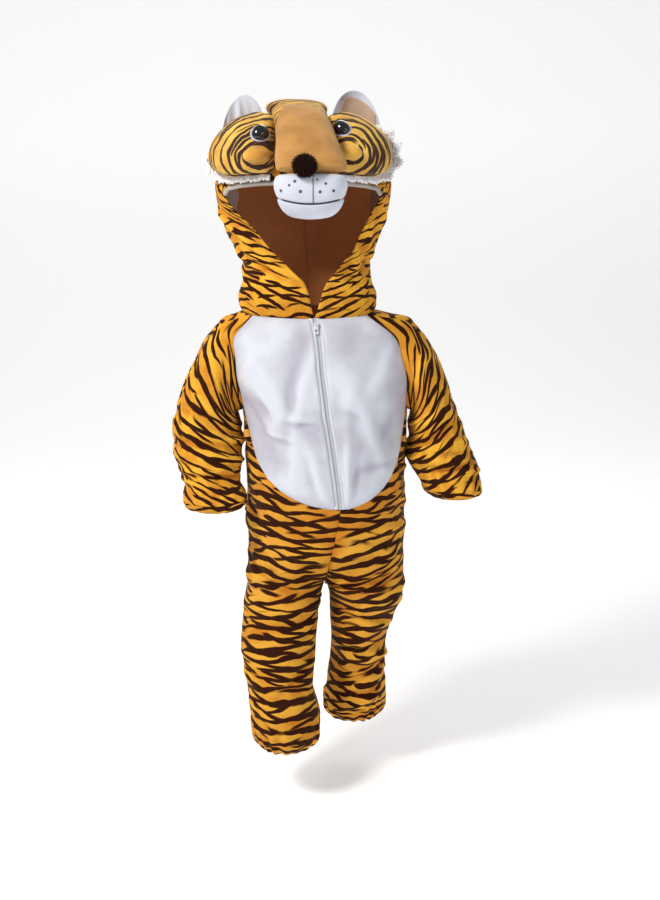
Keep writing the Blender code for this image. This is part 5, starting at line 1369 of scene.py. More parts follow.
# Hood
# Two striped halves with a seam over the top and down the back, sewn to the neck. The neck pulls
# it into small folds, and the reverse of the plush shows inside the face opening.
HOOD_COLUMNS = ("z", "centre_x", "half_width", "front", "back", "twist", "opening")
HOOD = (
    (0.0, 0.001, 0.108, 0.064, 0.064, 4.0, 1.0),
    (0.03, 0.0, 0.112, 0.07, 0.074, 5.0, 3.5),
    (0.055, -0.001, 0.103, 0.074, 0.08, 7.0, 8.0),
    (0.08, -0.002, 0.1, 0.078, 0.088, 8.5, 21.0),
    (0.105, -0.004, 0.11, 0.083, 0.098, 8.5, 33.0),
    (0.135, -0.006, 0.124, 0.09, 0.108, 6.0, 39.0),
    (0.165, -0.006, 0.134, 0.097, 0.114, 2.0, 50.0),
    (0.19, -0.006, 0.138, 0.1, 0.116, 0.0, 60.0),
    (0.202, -0.006, 0.139, 0.101, 0.116, 0.0, 54.0),
    (0.2065, -0.006, 0.139, 0.101, 0.116, 0.0, 42.0),
    (0.2095, -0.006, 0.139, 0.101, 0.116, 0.0, 27.0),
    (0.2112, -0.006, 0.139, 0.101, 0.116, 0.0, 12.0),
    (0.212, -0.006, 0.139, 0.101, 0.116, 0.0, 0.0),
)
HOOD_ROWS_Z = (
    0.014, 0.03, 0.048, 0.066, 0.084, 0.105, 0.13, 0.155,
    0.178, 0.193, 0.202, 0.2065, 0.2095, 0.2112, 0.212,
)
DOME_Z = 0.212
DOME_RISE = 0.095
DOME_TOP_ANGLE = 88.5


def hood_value(wanted, z):
    return smooth_column(HOOD, HOOD_COLUMNS, wanted, z)


def hood_plan(foot):
    return [hood_value(name, foot) for name in ("half_width", "front", "back")]


def dome_point(turn, level):
    """A hood point by its angle from the front. Above the dome's foot the level climbs the dome."""
    foot = min(level, DOME_Z)
    climb = max(level - DOME_Z, 0.0) / DOME_RISE * 0.5 * math.pi
    plan = section_point(turn, 0.0, *hood_plan(foot))
    shrink = max(math.cos(climb), 0.0)
    x = hood_value("centre_x", foot) + plan[0] * shrink
    return np.array((x, plan[1] * shrink, foot + DOME_RISE * math.sin(climb)))


def hood_base(side, around, level):
    """A hood point by its part of the way from the face opening to the centre back."""
    foot = min(level, DOME_Z)
    start = math.radians(hood_value("twist", foot))
    open_half = math.radians(hood_value("opening", foot)) if level <= DOME_Z else 0.0
    return dome_point(half_angle(side, around, start + side * open_half), level)


def neck_places():
    """The places round the neck seam of one side, from the centre front to the centre back."""
    front = [RAGLAN_NECK * k / NECK_FRONT_STEPS for k in range(NECK_FRONT_STEPS)]
    wide = 1.0 - 2.0 * RAGLAN_NECK
    shoulder = [RAGLAN_NECK + wide * k / NECK_SLEEVE_STEPS for k in range(NECK_SLEEVE_STEPS)]
    back = [1.0 - RAGLAN_NECK + RAGLAN_NECK * k / NECK_BACK_STEPS for k in range(NECK_BACK_STEPS + 1)]
    return front + shoulder + back


HOOD_GIRTH = 0.4
HOOD_CREASES = (
    (-1, 0.12, 0.086, 0.5, 0.045, 0.0065, 0.0034),
    (-1, 0.2, 0.07, -0.3, 0.05, 0.006, -0.003),
    (-1, 0.3, 0.092, 0.4, 0.045, 0.0065, 0.0032),
    (-1, 0.1, 0.052, 0.3, 0.05, 0.006, 0.003),
    (-1, 0.28, 0.05, -0.2, 0.045, 0.006, 0.003),
    (-1, 0.12, 0.12, 0.9, 0.04, 0.007, 0.0024),
    (-1, 0.22, 0.15, 0.6, 0.045, 0.008, 0.002),
    (-1, 0.55, 0.08, 0.3, 0.06, 0.008, 0.0034),
    (-1, 0.75, 0.06, -0.3, 0.06, 0.008, 0.0034),
    (-1, 0.85, 0.1, 0.3, 0.06, 0.008, 0.003),
    (-1, 0.6, 0.13, 0.4, 0.06, 0.009, 0.0024),
    (1, 0.12, 0.084, -0.5, 0.045, 0.0065, 0.0034),
    (1, 0.22, 0.072, 0.3, 0.05, 0.006, -0.003),
    (1, 0.3, 0.094, -0.4, 0.045, 0.0065, 0.0032),
    (1, 0.1, 0.054, -0.3, 0.05, 0.006, 0.003),
    (1, 0.28, 0.048, 0.2, 0.045, 0.006, 0.003),
    (1, 0.1, 0.125, -0.9, 0.04, 0.007, 0.0024),
    (1, 0.2, 0.155, -0.6, 0.045, 0.008, 0.002),
    (1, 0.55, 0.078, -0.3, 0.06, 0.008, 0.0034),
    (1, 0.75, 0.062, 0.3, 0.06, 0.008, 0.0034),
    (1, 0.85, 0.104, -0.3, 0.06, 0.008, 0.003),
    (1, 0.6, 0.132, -0.4, 0.06, 0.009, 0.0024),
)
HOOD_CRUMPLE = 1.5
HOOD_WANDER = (0.05, 0.0012)
HALF_SHIFT = 0.8
HOOD_COLUMNS_FINE = 97
HOOD_LEVELS_FINE = np.concatenate((
    np.arange(HOOD_ROWS_Z[0], DOME_Z - 0.002, 0.0036),
    DOME_Z + DOME_RISE * np.linspace(0.0, DOME_TOP_ANGLE, 46) / 90.0,
))
hood_plush = striped_plush("striped_plush_hood", GOLD, 0.018, -8.0, 0.417, 7.3)
# Inside, a strip along the opening shows off-white on the wearer's right and brown on the left.
FACING_WIDE, FACING_LOW, FACING_HIGH = 0.235, HOOD_LEVELS_FINE[24], 0.27
hood_facing = {
    -1: plush_reverse("hood_facing_right", (0.8, 0.76, 0.72), (0.56, 0.5, 0.46)),
    1: plush_reverse("hood_facing_left", (0.42, 0.27, 0.19), (0.3, 0.18, 0.13)),
}
hood_edges = {}
for side in SIDES:
    places = neck_places()
    spots = np.linspace(0.0, 1.0, HOOD_COLUMNS_FINE)
    starts = np.interp(spots, np.linspace(0.0, 1.0, len(places)), places)
    rows = [[(*body_base(side, around, neck_z(around)), spot, 0.0) for around, spot in zip(starts, spots)]]
    settled = np.arange(1, 7) / 6.0
    for level in HOOD_LEVELS_FINE:
        mix = float(np.interp(level, HOOD_ROWS_Z[:6], settled))
        rows.append([
            (*hood_base(side, start * (1 - mix) + spot * mix, level), spot, level)
            for start, spot in zip(starts, spots)
        ])
    fine = smooth_through(np.array(rows), [3] + [1] * (len(rows) - 2), False)
    points, around, level = fine[:, :, :3], fine[:, :, 3], fine[:, :, 4]
    points[0, :, 2] -= TUCK
    near = from_edges(points, ("top", "right"))
    low_down = fade_in(DOME_Z - 0.03 - level, 0.03)
    folds = [row for row in HOOD_CREASES if row[0] == side]
    heights = HOOD_CRUMPLE * bumps(folds, around, level, HOOD_GIRTH)
    heights = heights * fade_in(near, 0.018) * low_down
    wander = unevenness(around * HOOD_GIRTH, level, 41 + side, *HOOD_WANDER)
    heights += wander * fade_in(near, STILL_EDGE) * low_down
    seam = from_edges(points, ("right",))
    heights += seam_dip(seam) * fade_in(DOME_Z + DOME_RISE - level, 0.02)
    steady = np.exp(-(from_edges(points, ("top",)) / 0.006) ** 2)
    level = run_down(points)
    uv = np.stack((around * HOOD_GIRTH + (HALF_SHIFT if side > 0 else 0.0), level), axis=2)
    name = "hood_" + SIDE_NAMES[side]
    finishes = (hood_plush, body_reverse)
    piece, moved = cloth_piece(name + "_plush", points, heights, uv, finishes, steady=steady)
    piece.data.materials.append(hood_facing[side])
    seen = piece.data.uv_layers["cloth"].data
    for face in piece.data.polygons:
        across = np.mean([seen[k].uv[0] for k in face.loop_indices]) - (HALF_SHIFT if side > 0 else 0.0)
        if face.material_index == 1 and across < FACING_WIDE and FACING_LOW < face.center.z < FACING_HIGH:
            face.material_index = 2
    settle(piece, name, "striped_plush")
    cut_sheet(piece, points)
    hood_edges[side] = moved[:, 0:6]


# Face opening
# A pale bias strip binds the top of the opening, and a row of stitches holds its turned edge.
BINDING_RADIUS = 0.0034
BINDING_LOW_Z = 0.193
OPENING_MIDDLE = np.array((0.01, -0.08, 0.13))


def opening_edge(side):
    """The top edge of the face opening on one side, from its middle down to the cheek's end."""
    corners = [hood_base(side, 0.0, z) for z in reversed(HOOD_ROWS_Z) if z >= BINDING_LOW_Z]
    points = corners[:1]
    for before, after in zip(corners, corners[1:]):
        points += [0.5 * (before + after), after]
    return points


BINDING_SIDES = 14
LINING = (0.5, 0.45, 0.4)


def tube_rings(path, radius, sides):
    """Rings of points round a path, with the way out at each."""
    rings = []
    for k, here in enumerate(path):
        before, after = path[max(k - 1, 0)], path[min(k + 1, len(path) - 1)]
        along = unit(after - before)
        out = unit(np.array((here[0], here[1], 0.0)))
        out = unit(out - along * float(np.dot(out, along)))
        down = facing(np.cross(out, along), OPENING_MIDDLE - here)
        centre = here - out * 0.5 * PLUSH + down * (radius + 0.0006)
        turns = 2 * math.pi * np.arange(sides) / sides
        rings.append(centre + radius * (np.outer(np.cos(turns), out) + np.outer(np.sin(turns), down)))
    return np.array(rings)


CAP_RINGS = (0.94, 0.8, 0.6, 0.35, 0.12)


def closed_body(name, rings, finish, domes):
    """One closed body through rings; its two ends are domed out by the given heights."""
    count = rings.shape[1]
    caps = []
    for ring, inner, height in ((rings[0], rings[1], domes[0]), (rings[-1], rings[-2], domes[1])):
        middle = ring.mean(axis=0)
        way = unit(middle - inner.mean(axis=0))
        caps.append([middle + (ring - middle) * t + way * height * (1.0 - t * t) for t in CAP_RINGS])
    body = np.concatenate((caps[0][::-1], rings, caps[1]))
    points = np.concatenate((body.reshape(-1, 3), body[:1].mean(axis=1), body[-1:].mean(axis=1)))
    rows = len(body)
    faces = []
    for i in range(rows - 1):
        for k in range(count):
            a, b = i * count + k, i * count + (k + 1) % count
            faces.append((a, b, b + count, a + count))
    for k in range(count):
        faces.append((rows * count, (k + 1) % count, k))
        last = (rows - 1) * count
        faces.append((rows * count + 1, last + k, last + (k + 1) % count))
    mesh = bpy.data.meshes.new(name)
    mesh.from_pydata(points.tolist(), [], faces)
    mesh.materials.append(finish)
    mesh.shade_smooth()
    turned_out(mesh, points, faces)
    return link(mesh, name), points


lining_cloth = fleece("binding_cloth", LINING, (0.36, 0.31, 0.27), 0.0008, 0.2)
left_edge, right_edge = opening_edge(1), opening_edge(-1)
edge_path = refine(np.array(right_edge[:0:-1] + left_edge)[:, None, :], 0.003)[:, 0]
rings = tube_rings(edge_path, BINDING_RADIUS, BINDING_SIDES)
binding, _ = closed_body("hood_binding_cloth", rings, lining_cloth, (0.002, 0.002))
settle(binding, "hood_binding", "binding")
thread_brown = smooth_plastic("brown_thread", (0.1, 0.045, 0.02), 0.6, 0.5)
for side in SIDES:
    edge = hood_edges[side]
    path = edge[4:70, 3]
    out = facing(sheet_normals(edge)[4:70, 3], path - path.mean(axis=0) * np.array((0.0, 0.0, 1.0)))
    stitches = "face_opening_stitches_" + SIDE_NAMES[side]
    trim(stitch_line(stitches, path, out, 0.0001, thread_brown))

# Crown and snout
# The stuffed ridge of the tiger's head: a yellow striped crown, and a tan felt bridge set into
# it on an arched seam. Both are sewn down on top of the hood.
# Each section: its top and its low point back and up, its half width; level 0 is the hood's own
CROWN = (
    (0.052, 0.302, 0.05, 0.0, 0.018),
    (0.042, 0.318, 0.04, 0.0, 0.033),
    (0.018, 0.331, 0.016, 0.0, 0.044),
    (-0.012, 0.3345, -0.012, 0.0, 0.047),
    (-0.036, 0.3292, -0.033, 0.0, 0.046),
    (-0.044, 0.3266, -0.04, 0.0, 0.0405),
)
SNOUT = (
    (-0.0445, 0.3265, -0.0405, 0.0, 0.041),
    (-0.08, 0.319, -0.066, 0.0, 0.0415),
    (-0.115, 0.305, -0.087, 0.0, 0.043),
    (-0.148, 0.285, -0.106, 0.244, 0.046),
    (-0.176, 0.264, -0.124, 0.226, 0.05),
    (-0.194, 0.243, -0.152, 0.2205, 0.052),
    (-0.197, 0.231, -0.18, 0.22, 0.049),
)
RIDGE_SIDES = 18
RIDGE_X = -0.019
RIDGE_LIFT = 0.0014
RIDGE_SLANT = 0.142
RIDGE_ROUND = 0.85


def dome_height(x, y):
    """The hood's height over a plan point, on the dome."""
    half, front, back = hood_plan(DOME_Z)
    depth = front if y < 0 else back
    across = abs((x - hood_value("centre_x", DOME_Z)) / half) ** SECTION_POWER
    reach = (across + abs(y / depth) ** SECTION_POWER) ** (1 / SECTION_POWER)
    return DOME_Z + DOME_RISE * math.sqrt(max(1 - min(reach, 1.0) ** 2, 0.0))


def ridge_rings(table):
    rings = []
    for top_y, top_z, low_y, low_z, half_width in table:
        low_z = low_z or dome_height(RIDGE_X, low_y) + RIDGE_LIFT
        top, low = np.array((0.0, top_y, top_z)), np.array((0.0, low_y, low_z))
        middle, half = 0.5 * (top + low), 0.5 * (top - low)
        shift = RIDGE_X + RIDGE_SLANT * max(-top_y, 0.0)
        ring = []
        for k in range(RIDGE_SIDES):
            turn = 2 * math.pi * k / RIDGE_SIDES
            across = half_width * signed_power(math.cos(turn), RIDGE_ROUND)
            up = half * signed_power(math.sin(turn), RIDGE_ROUND)
            ring.append(middle + up + np.array((shift + across, 0.0, 0.0)))
        rings.append(np.array(ring))
    return rings


ARCH_TOP_Y = -0.054
ARCH_SIDE_Y = -0.118
ARCH_HALF = 0.044
HEAD_YELLOW = (0.88, 0.54, 0.1)
HEAD_BROWN = (0.66, 0.31, 0.045)
TAN = (0.6, 0.3, 0.08)
TAN_DEEP = (0.47, 0.215, 0.05)


def head_cloth(name, arch, pitch):
    """Yellow printed plush with thin dark arcs; inside the arch it is plain tan felt."""
    soft = {"Sheen Weight": 0.25, "Sheen Tint": (1.0, 0.85, 0.5, 1.0)}
    made, make, shader = new_finish(name, 0.88, soft)
    places = own_places(make)
    print_place = make("ShaderNodeAttribute", attribute_name="print_place").outputs["Vector"]
    waved = wandered(make, print_place, places, 28.0, 2.0, (0.01, 0.016, 0.0))
    stretched = make("ShaderNodeVectorMath", {1: (0.42, 1.0, 0.0)}, {0: waved}, operation="MULTIPLY")
    stripe = strokes(make, stretched.outputs["Vector"], pitch, (6.0, -7.0), 0.425, 0.02)
    bump, fibres = pile_bump(make, places, 0.0009, 0.3, 0.0007)
    tone_mix = noise(make, places, 26.0, 3.0).outputs["Fac"]
    ground = mixed(make, spread(make, tone_mix, 0.34, 0.62), HEAD_BROWN, HEAD_YELLOW)
    colour = mixed(make, stripe, ground, STRIPE_DARK)
    if arch:
        felt = mixed(make, spread(make, tone_mix, 0.36, 0.64), TAN_DEEP, TAN)
        mask = make("ShaderNodeAttribute", attribute_name="inside_arch").outputs["Fac"]
        colour = mixed(make, spread(make, mask, -0.0006, 0.0006), colour, felt)
    join(shader, speckled(make, colour, fibres, 0.84, 1.1), bump)
    return made


def ridge_print(points):
    """Places for the print on the ridge: across it, and back from an arc ahead of it."""
    x = points[:, 0] - RIDGE_X + RIDGE_SLANT * np.minimum(points[:, 1], 0.0)
    bow = points[:, 1] + 6.0 * x * x
    return np.stack((x + 5.0, bow * 1.1 + 2.0, np.zeros_like(x)), axis=1)


crown_cloth = head_cloth("crown_plush", False, 0.0125)
bridge_cloth = head_cloth("bridge_felt", True, 0.0125)
for node, table, finish, slot, domes in (
    ("head_crown", CROWN, crown_cloth, "head_plush", (0.004, 0.0)),
    ("snout", SNOUT, bridge_cloth, "tan_felt", (0.0, 0.004)),
):
    rings = refine(np.array(ridge_rings(table)), 0.003, True)
    way = flat_unit(rings - rings.mean(axis=1, keepdims=True))
    swell = unevenness(rings[:, :, 0] + rings[:, :, 2], rings[:, :, 1], 51, 0.04, 0.0008)
    piece, points = closed_body(node + "_stuffed", rings + way * swell[:, :, None], finish, domes)
    set_attribute(piece.data, "print_place", "FLOAT_VECTOR", ridge_print(points))
    x = points[:, 0] - RIDGE_X + RIDGE_SLANT * np.minimum(points[:, 1], 0.0)
    arch = ARCH_TOP_Y + (ARCH_SIDE_Y - ARCH_TOP_Y) * (np.abs(x) / ARCH_HALF) ** 2.6
    inside = np.where(points[:, 2] > 0.0, arch - points[:, 1], 0.0)
    set_attribute(piece.data, "inside_arch", "FLOAT", inside)
    settle(piece, node, slot)

# Cheeks
# Stuffed pillows of the yellow printed plush, sewn round their edges to the hood, with a smaller
# plain pad under each eye. The print curves round the eye.
LAY_GAP = 0.00045
CHEEK_TURNS = {-1: -45.0, 1: 42.0}
CHEEK_TURN_HALF = {-1: 27.5, 1: 24.5}
CHEEK_SKEW = {-1: 5.0, 1: 2.5}
CHEEK_LEVEL = 0.246
CHEEK_LEVEL_HALF = 0.03
CHEEK_HEIGHT = 0.04
CHEEK_RIM = 0.004
CHEEK_FULLNESS = 0.7
CHEEK_DROOP = 0.01
CHEEK_ROUND = 0.31
CHEEK_ROUND_CHANGE = 0.19
EYE_PLACES = {-1: (-0.745, 0.06), 1: (-0.72, 0.2)}
CHEEK_PAD_PLACES = {-1: (-0.7, -0.52), 1: (-0.66, -0.45)}


def dome_normal(turn, level):
    """The way out of the hood's dome."""
    step = 2e-3
    low, high = dome_point(turn, level - step), dome_point(turn, level + step)
    left, right = dome_point(turn - step, level), dome_point(turn + step, level)
    outward = dome_point(turn, level) - np.array((0.0, 0.0, DOME_Z - 0.05))
    return facing(unit(np.cross(right - left, high - low)), outward)


def disc_place(u, v):
    return u * math.sqrt(1.0 - 0.5 * v * v), v * math.sqrt(1.0 - 0.5 * u * u)


def cheek_place(u, v):
    """A place on the cheek: square towards the snout, round towards the ear."""
    round_off = CHEEK_ROUND + CHEEK_ROUND_CHANGE * u
    return u * math.sqrt(1.0 - round_off * v * v), v * math.sqrt(1.0 - round_off * u * u)


def cheek_foot(side, a, b):
    """The angle from the front and the level on the hood under a place of the cheek."""
    skew = CHEEK_SKEW[side] * 0.5 * (1.0 - a) * b
    turn = math.radians(CHEEK_TURNS[side] + side * (CHEEK_TURN_HALF[side] * a + skew))
    return turn, CHEEK_LEVEL + CHEEK_LEVEL_HALF * b


def cheek_top(side, u, v):
    """A point on the stuffed cheek; u and v run from -1 to 1 over it."""
    a, b = cheek_place(u, v)
    turn, level = cheek_foot(side, a, b)
    here = dome_point(turn, level)
    out = dome_normal(turn, level)
    swell = math.sqrt(max((1.0 - u * u) * (1.0 - v * v), 0.0))
    height = LAY_GAP + CHEEK_RIM + CHEEK_HEIGHT * swell ** CHEEK_FULLNESS
    droop = np.array((0.0, 0.0, -CHEEK_DROOP)) * swell
    return here + out * height + droop


PUCKERS = 34
PUCKER_DEPTH = 0.0011
PRINT_RADIUS = 0.045
PAD_RADII = (0.019, 0.011)
PAD_HEIGHTS = (0.0004, 0.001, 0.008)
cheek_cloth = head_cloth("cheek_plush", False, 0.0135)
pad_cloth = fleece("pad_plush", (0.92, 0.53, 0.07), (0.66, 0.31, 0.04), 0.0009, 0.3)


def cheek_steps(side, u, v, step):
    """A step along u and one along v on the cheek, from one side of a place to the other."""
    along = cheek_top(side, u + step, v) - cheek_top(side, u - step, v)
    return along, cheek_top(side, u, v + step) - cheek_top(side, u, v - step)


def cheek_outs(side, places):
    """The way out of the cheek at each place."""
    outs = []
    for u, v in places:
        u, v = min(max(u, -0.97), 0.97), min(max(v, -0.97), 0.97)
        along, up = cheek_steps(side, u, v, 0.01)
        middle = cheek_top(side, u, v) - np.array((0.0, 0.0, DOME_Z))
        outs.append(facing(unit(np.cross(along, up)), middle))
    return np.array(outs)


def pillow_piece(name, outer, inner, finish):
    """A stuffed or doubled piece between two sheets, with an even place on its cloth."""
    rows, columns = outer.shape[:2]
    across, down = np.meshgrid(np.linspace(0, 0.1, columns), np.linspace(0, 0.08, rows))
    return shell(name, outer, inner, np.stack((across, down), axis=2), (finish,), np.zeros((rows, columns)))


for side in SIDES:
    steps_u, steps_v = np.linspace(-1, 1, 49), np.linspace(1, -1, 41)
    places = [(u, v) for v in steps_v for u in steps_u]
    outer = np.array([cheek_top(side, u, v) for u, v in places])
    feet = [cheek_foot(side, *cheek_place(u, v)) for u, v in places]
    inner = np.array([dome_point(*foot) + dome_normal(*foot) * LAY_GAP for foot in feet])
    flat = np.array(places)
    rim = np.clip(np.maximum(np.abs(flat[:, 0]), np.abs(flat[:, 1])), 0.0, 1.0)
    turn = np.arctan2(flat[:, 1], flat[:, 0])
    pucker = PUCKER_DEPTH * np.cos(PUCKERS * turn + 2.0 * np.sin(3 * turn))
    pucker = pucker * np.clip((rim - 0.62) / 0.3, 0, 1) * (1 - rim ** 8)
    swell = unevenness(outer[:, 0], outer[:, 2], 61 + side, 0.035, 0.001) * (1 - rim ** 6)
    outer = outer + cheek_outs(side, places) * (pucker + swell)[:, None]
    shape = (len(steps_v), len(steps_u), 3)
    node = "head_cheek_" + SIDE_NAMES[side]
    piece = pillow_piece(node + "_stuffed", outer.reshape(shape), inner.reshape(shape), cheek_cloth)
    pad_middle = cheek_top(side, *CHEEK_PAD_PLACES[side])
    gap = np.concatenate((outer, inner)) - pad_middle
    flat_x = gap[:, 0] * side + 0.4 * np.abs(gap[:, 1])
    reach = np.hypot(flat_x, gap[:, 2] * 1.15)
    around = np.arctan2(gap[:, 2] * 1.15, flat_x)
    print_place = np.stack((around * PRINT_RADIUS + 3.0 * side, reach, 0 * reach), axis=1)
    set_attribute(piece.data, "print_place", "FLOAT_VECTOR", print_place)
    settle(piece, node, "head_plush")


def small_pad(node, side, centre, radii, heights, finish, slot, columns=24):
    """A domed pad that lies on a cheek."""
    step = 0.02
    u0, v0 = centre
    size_u, size_v = (np.linalg.norm(run) / (2 * step) for run in cheek_steps(side, u0, v0, step))
    out = cheek_outs(side, [centre])[0]
    foot, rim, crown = heights
    outer, inner = [], []
    for v in np.linspace(1, -1, columns + 1):
        for u in np.linspace(-1, 1, columns + 1):
            a, b = disc_place(u, v)
            place = cheek_top(side, u0 + a * radii[0] / size_u, v0 + b * radii[1] / size_v)
            swell = math.sqrt(max(1.0 - (a * a + b * b), 0.0))
            inner.append(place + out * foot)
            outer.append(place + out * (foot + rim + crown * swell))
    outer, inner = (np.array(points).reshape(columns + 1, columns + 1, 3) for points in (outer, inner))
    piece = pillow_piece(node + "_made", outer, inner, finish)
    settle(piece, node, slot)
    return piece


for side in SIDES:
    node = "cheek_pad_" + SIDE_NAMES[side]
    place = CHEEK_PAD_PLACES[side]
    pad = small_pad(node, side, place, PAD_RADII, PAD_HEIGHTS, pad_cloth, "head_plush")

# Eyes
# Glossy black plastic domes, each on a slightly larger crescent of white felt.
FELT_RADII, FELT_HEIGHTS = (0.015, 0.0155), (0.0004, 0.001, 0.0)
EYE_RADII, EYE_HEIGHTS = (0.0128, 0.0132), (0.0018, 0.001, 0.0085)
eye_gloss = smooth_plastic("eye_gloss", (0.006, 0.006, 0.009), 0.06)
set_values(shader_of(eye_gloss), {"Coat Weight": 0.6})
for side in SIDES:
    name, place = SIDE_NAMES[side], EYE_PLACES[side]
    small_pad("eye_felt_" + name, side, place, FELT_RADII, FELT_HEIGHTS, white_fleece, "white_plush")
    small_pad("eye_" + name, side, place, EYE_RADII, EYE_HEIGHTS, eye_gloss, "eye_gloss", 30)

# Muzzle, chin and nose
# White fleece pillows that meet in a smiling mouth, sewn with dark thread, and a fuzzy brown
# ball for the nose. Grey whisker dots are printed on the fleece.
# Each ring of the muzzle and the chin: its level, half width, depth and how far it smiles
BOWL_CENTRE = (0.008, -0.1715)
BOWL_SMILE = 3.6
BOWL_SIDES = 22
BOWL_ROUND = 0.75
MUZZLE = (
    (0.2194, 0.04, 0.024, 0.0),
    (0.217, 0.049, 0.032, 0.0),
    (0.21, 0.053, 0.036, 0.0),
    (0.2, 0.0535, 0.037, 0.15),
    (0.189, 0.052, 0.036, 0.6),
    (0.18, 0.0495, 0.034, 0.95),
    (0.1775, 0.047, 0.0318, 1.0),
)
CHIN = (
    (0.177, 0.0465, 0.0312, 1.0),
    (0.1755, 0.0485, 0.033, 0.95),
    (0.169, 0.0455, 0.031, 0.75),
    (0.1625, 0.039, 0.027, 0.55),
    (0.158, 0.029, 0.02, 0.3),
    (0.156, 0.016, 0.011, 0.1),
)


def bowl_rings(table):
    rings = []
    for z, half_width, depth, smile in table:
        ring = []
        for k in range(BOWL_SIDES):
            turn = 2 * math.pi * k / BOWL_SIDES
            across = half_width * signed_power(math.cos(turn), BOWL_ROUND)
            along = depth * signed_power(math.sin(turn), BOWL_ROUND)
            rise = z + smile * BOWL_SMILE * across * across
            ring.append(np.array((BOWL_CENTRE[0] + across, BOWL_CENTRE[1] + along, rise)))
        rings.append(np.array(ring))
    return rings


MOUTH_LINE_X = 0.012
MOUTH_Z = 0.1776
MOUTH_ROPE = (0.0026, 0.0026, 0.004)
LIP_ROPE = (0.0013, 0.0013, 0.003)
WHISKER_DOTS = (
    (-0.036, 0.2135), (-0.022, 0.204), (-0.034, 0.196), (-0.006, 0.195), (-0.014, 0.209),
    (0.018, 0.2125), (0.03, 0.206), (0.04, 0.213), (0.022, 0.1945), (0.041, 0.196),
)
WHISKER_SIZE = (0.0046, 0.0046, 0.0008)


def front_of_bowl(table, x, z):
    """The point on the front of the muzzle or the chin at a place across and a level."""
    levels, widths, depths, smiles = np.array(table[::-1]).T
    across = x - BOWL_CENTRE[0]
    level = z
    for _ in range(6):
        smile = float(np.interp(level, levels, smiles))
        level = z - smile * BOWL_SMILE * across * across
    half, deep = (float(np.interp(level, levels, values)) for values in (widths, depths))
    ratio = min(abs(across) / half, 0.999) ** (1 / BOWL_ROUND)
    along = deep * math.sqrt(1.0 - ratio * ratio) ** BOWL_ROUND
    return np.array((x, BOWL_CENTRE[1] - along, z))


muzzle_fleece = fleece("muzzle_fleece", (0.76, 0.8, 0.9), (0.6, 0.62, 0.72), 0.001, 0.45)
for node, table, domes in (("muzzle", MUZZLE, (0.001, 0.0)), ("chin", CHIN, (0.0, 0.001))):
    rings = refine(np.array(bowl_rings(table)), 0.0026, True)
    piece, points = closed_body(node + "_stuffed", rings, muzzle_fleece, domes)
    set_attribute(piece.data, "relief", "FLOAT", np.zeros(len(points)))
    settle(piece, node, "white_plush")
mouth_thread = smooth_plastic("dark_thread", (0.016, 0.014, 0.018), 0.6, 0.5)
steps = np.linspace(-0.033, 0.049, 40)
mouth = [front_of_bowl(MUZZLE, x, MOUTH_Z + BOWL_SMILE * (x - BOWL_CENTRE[0]) ** 2) for x in steps]
seam = [front_of_bowl(MUZZLE, MOUTH_LINE_X, z) for z in np.linspace(0.217, 0.1782, 20)]
for name, path, size in (("mouth_stitches", mouth, MOUTH_ROPE), ("lip_stitches", seam, LIP_ROPE)):
    path = np.array(path)
    out = np.tile(FORWARD, (len(path), 1))
    trim(stitch_line(name, path, out, 0.0003, mouth_thread, 0.0022, size))


def shifted_dots(x_shift, z_shift):
    return np.array([front_of_bowl(MUZZLE, x + x_shift, z + z_shift) for x, z in WHISKER_DOTS])


dots = shifted_dots(0.0, 0.0)
side_step = shifted_dots(0.001, 0.0) - shifted_dots(-0.001, 0.0)
rise_step = shifted_dots(0.0, 0.001) - shifted_dots(0.0, -0.001)
dot_out = np.cross(side_step, rise_step)
dot_out *= np.sign(-dot_out[:, 1:2])
dot_out = flat_unit(dot_out)
print_grey = smooth_plastic("grey_print", (0.1, 0.12, 0.17), 0.8)
dots = dots + dot_out * 0.0001
whiskers = repeated("whisker_dots", dots, dot_out, rise_step, "dot", WHISKER_SIZE, 0.15, print_grey)
trim(whiskers)

NOSE_CENTRE = np.array((0.0, -0.2091, 0.231))
NOSE_RADII = np.array((0.016, 0.012, 0.0145))
NOSE_TUFTS = 900
NOSE_PILE = (0.0012, 0.0012, 0.0042)
number = np.arange(NOSE_TUFTS)
height = 1.0 - 2.0 * (number + 0.5) / NOSE_TUFTS
spin = number * math.pi * (3.0 - math.sqrt(5.0))
ring = np.sqrt(1.0 - height ** 2)
ways = np.stack((ring * np.cos(spin), ring * np.sin(spin), height), axis=1)
fuzz_brown = plain_material("brown_fuzz", (0.03, 0.011, 0.007), 0.95, {"Specular IOR Level": 0.15})
ball_rings = []
turns = np.linspace(0, 2 * math.pi, 24, endpoint=False)
for climb in np.linspace(-math.pi / 2 + 0.2, math.pi / 2 - 0.2, 14):
    flat = math.cos(climb)
    circle = np.stack((flat * np.cos(turns), flat * np.sin(turns), np.full(24, math.sin(climb))), axis=1)
    ball_rings.append(NOSE_CENTRE + circle * NOSE_RADII * 0.92)
nose, _ = closed_body("nose_ball", np.array(ball_rings), fuzz_brown, (0.0003, 0.0003))
settle(nose, "nose", "brown_pompom")
lean_way = ways + 0.35 * np.sin(number[:, None] * np.array((1.7, 2.3, 3.1)))
roots, sides = NOSE_CENTRE + ways * NOSE_RADII * 0.93, np.roll(ways, 1, axis=1)
tufts = repeated("nose_fuzz", roots, lean_way, sides, "tuft", NOSE_PILE, 0.3, fuzz_brown)
trim(tufts)
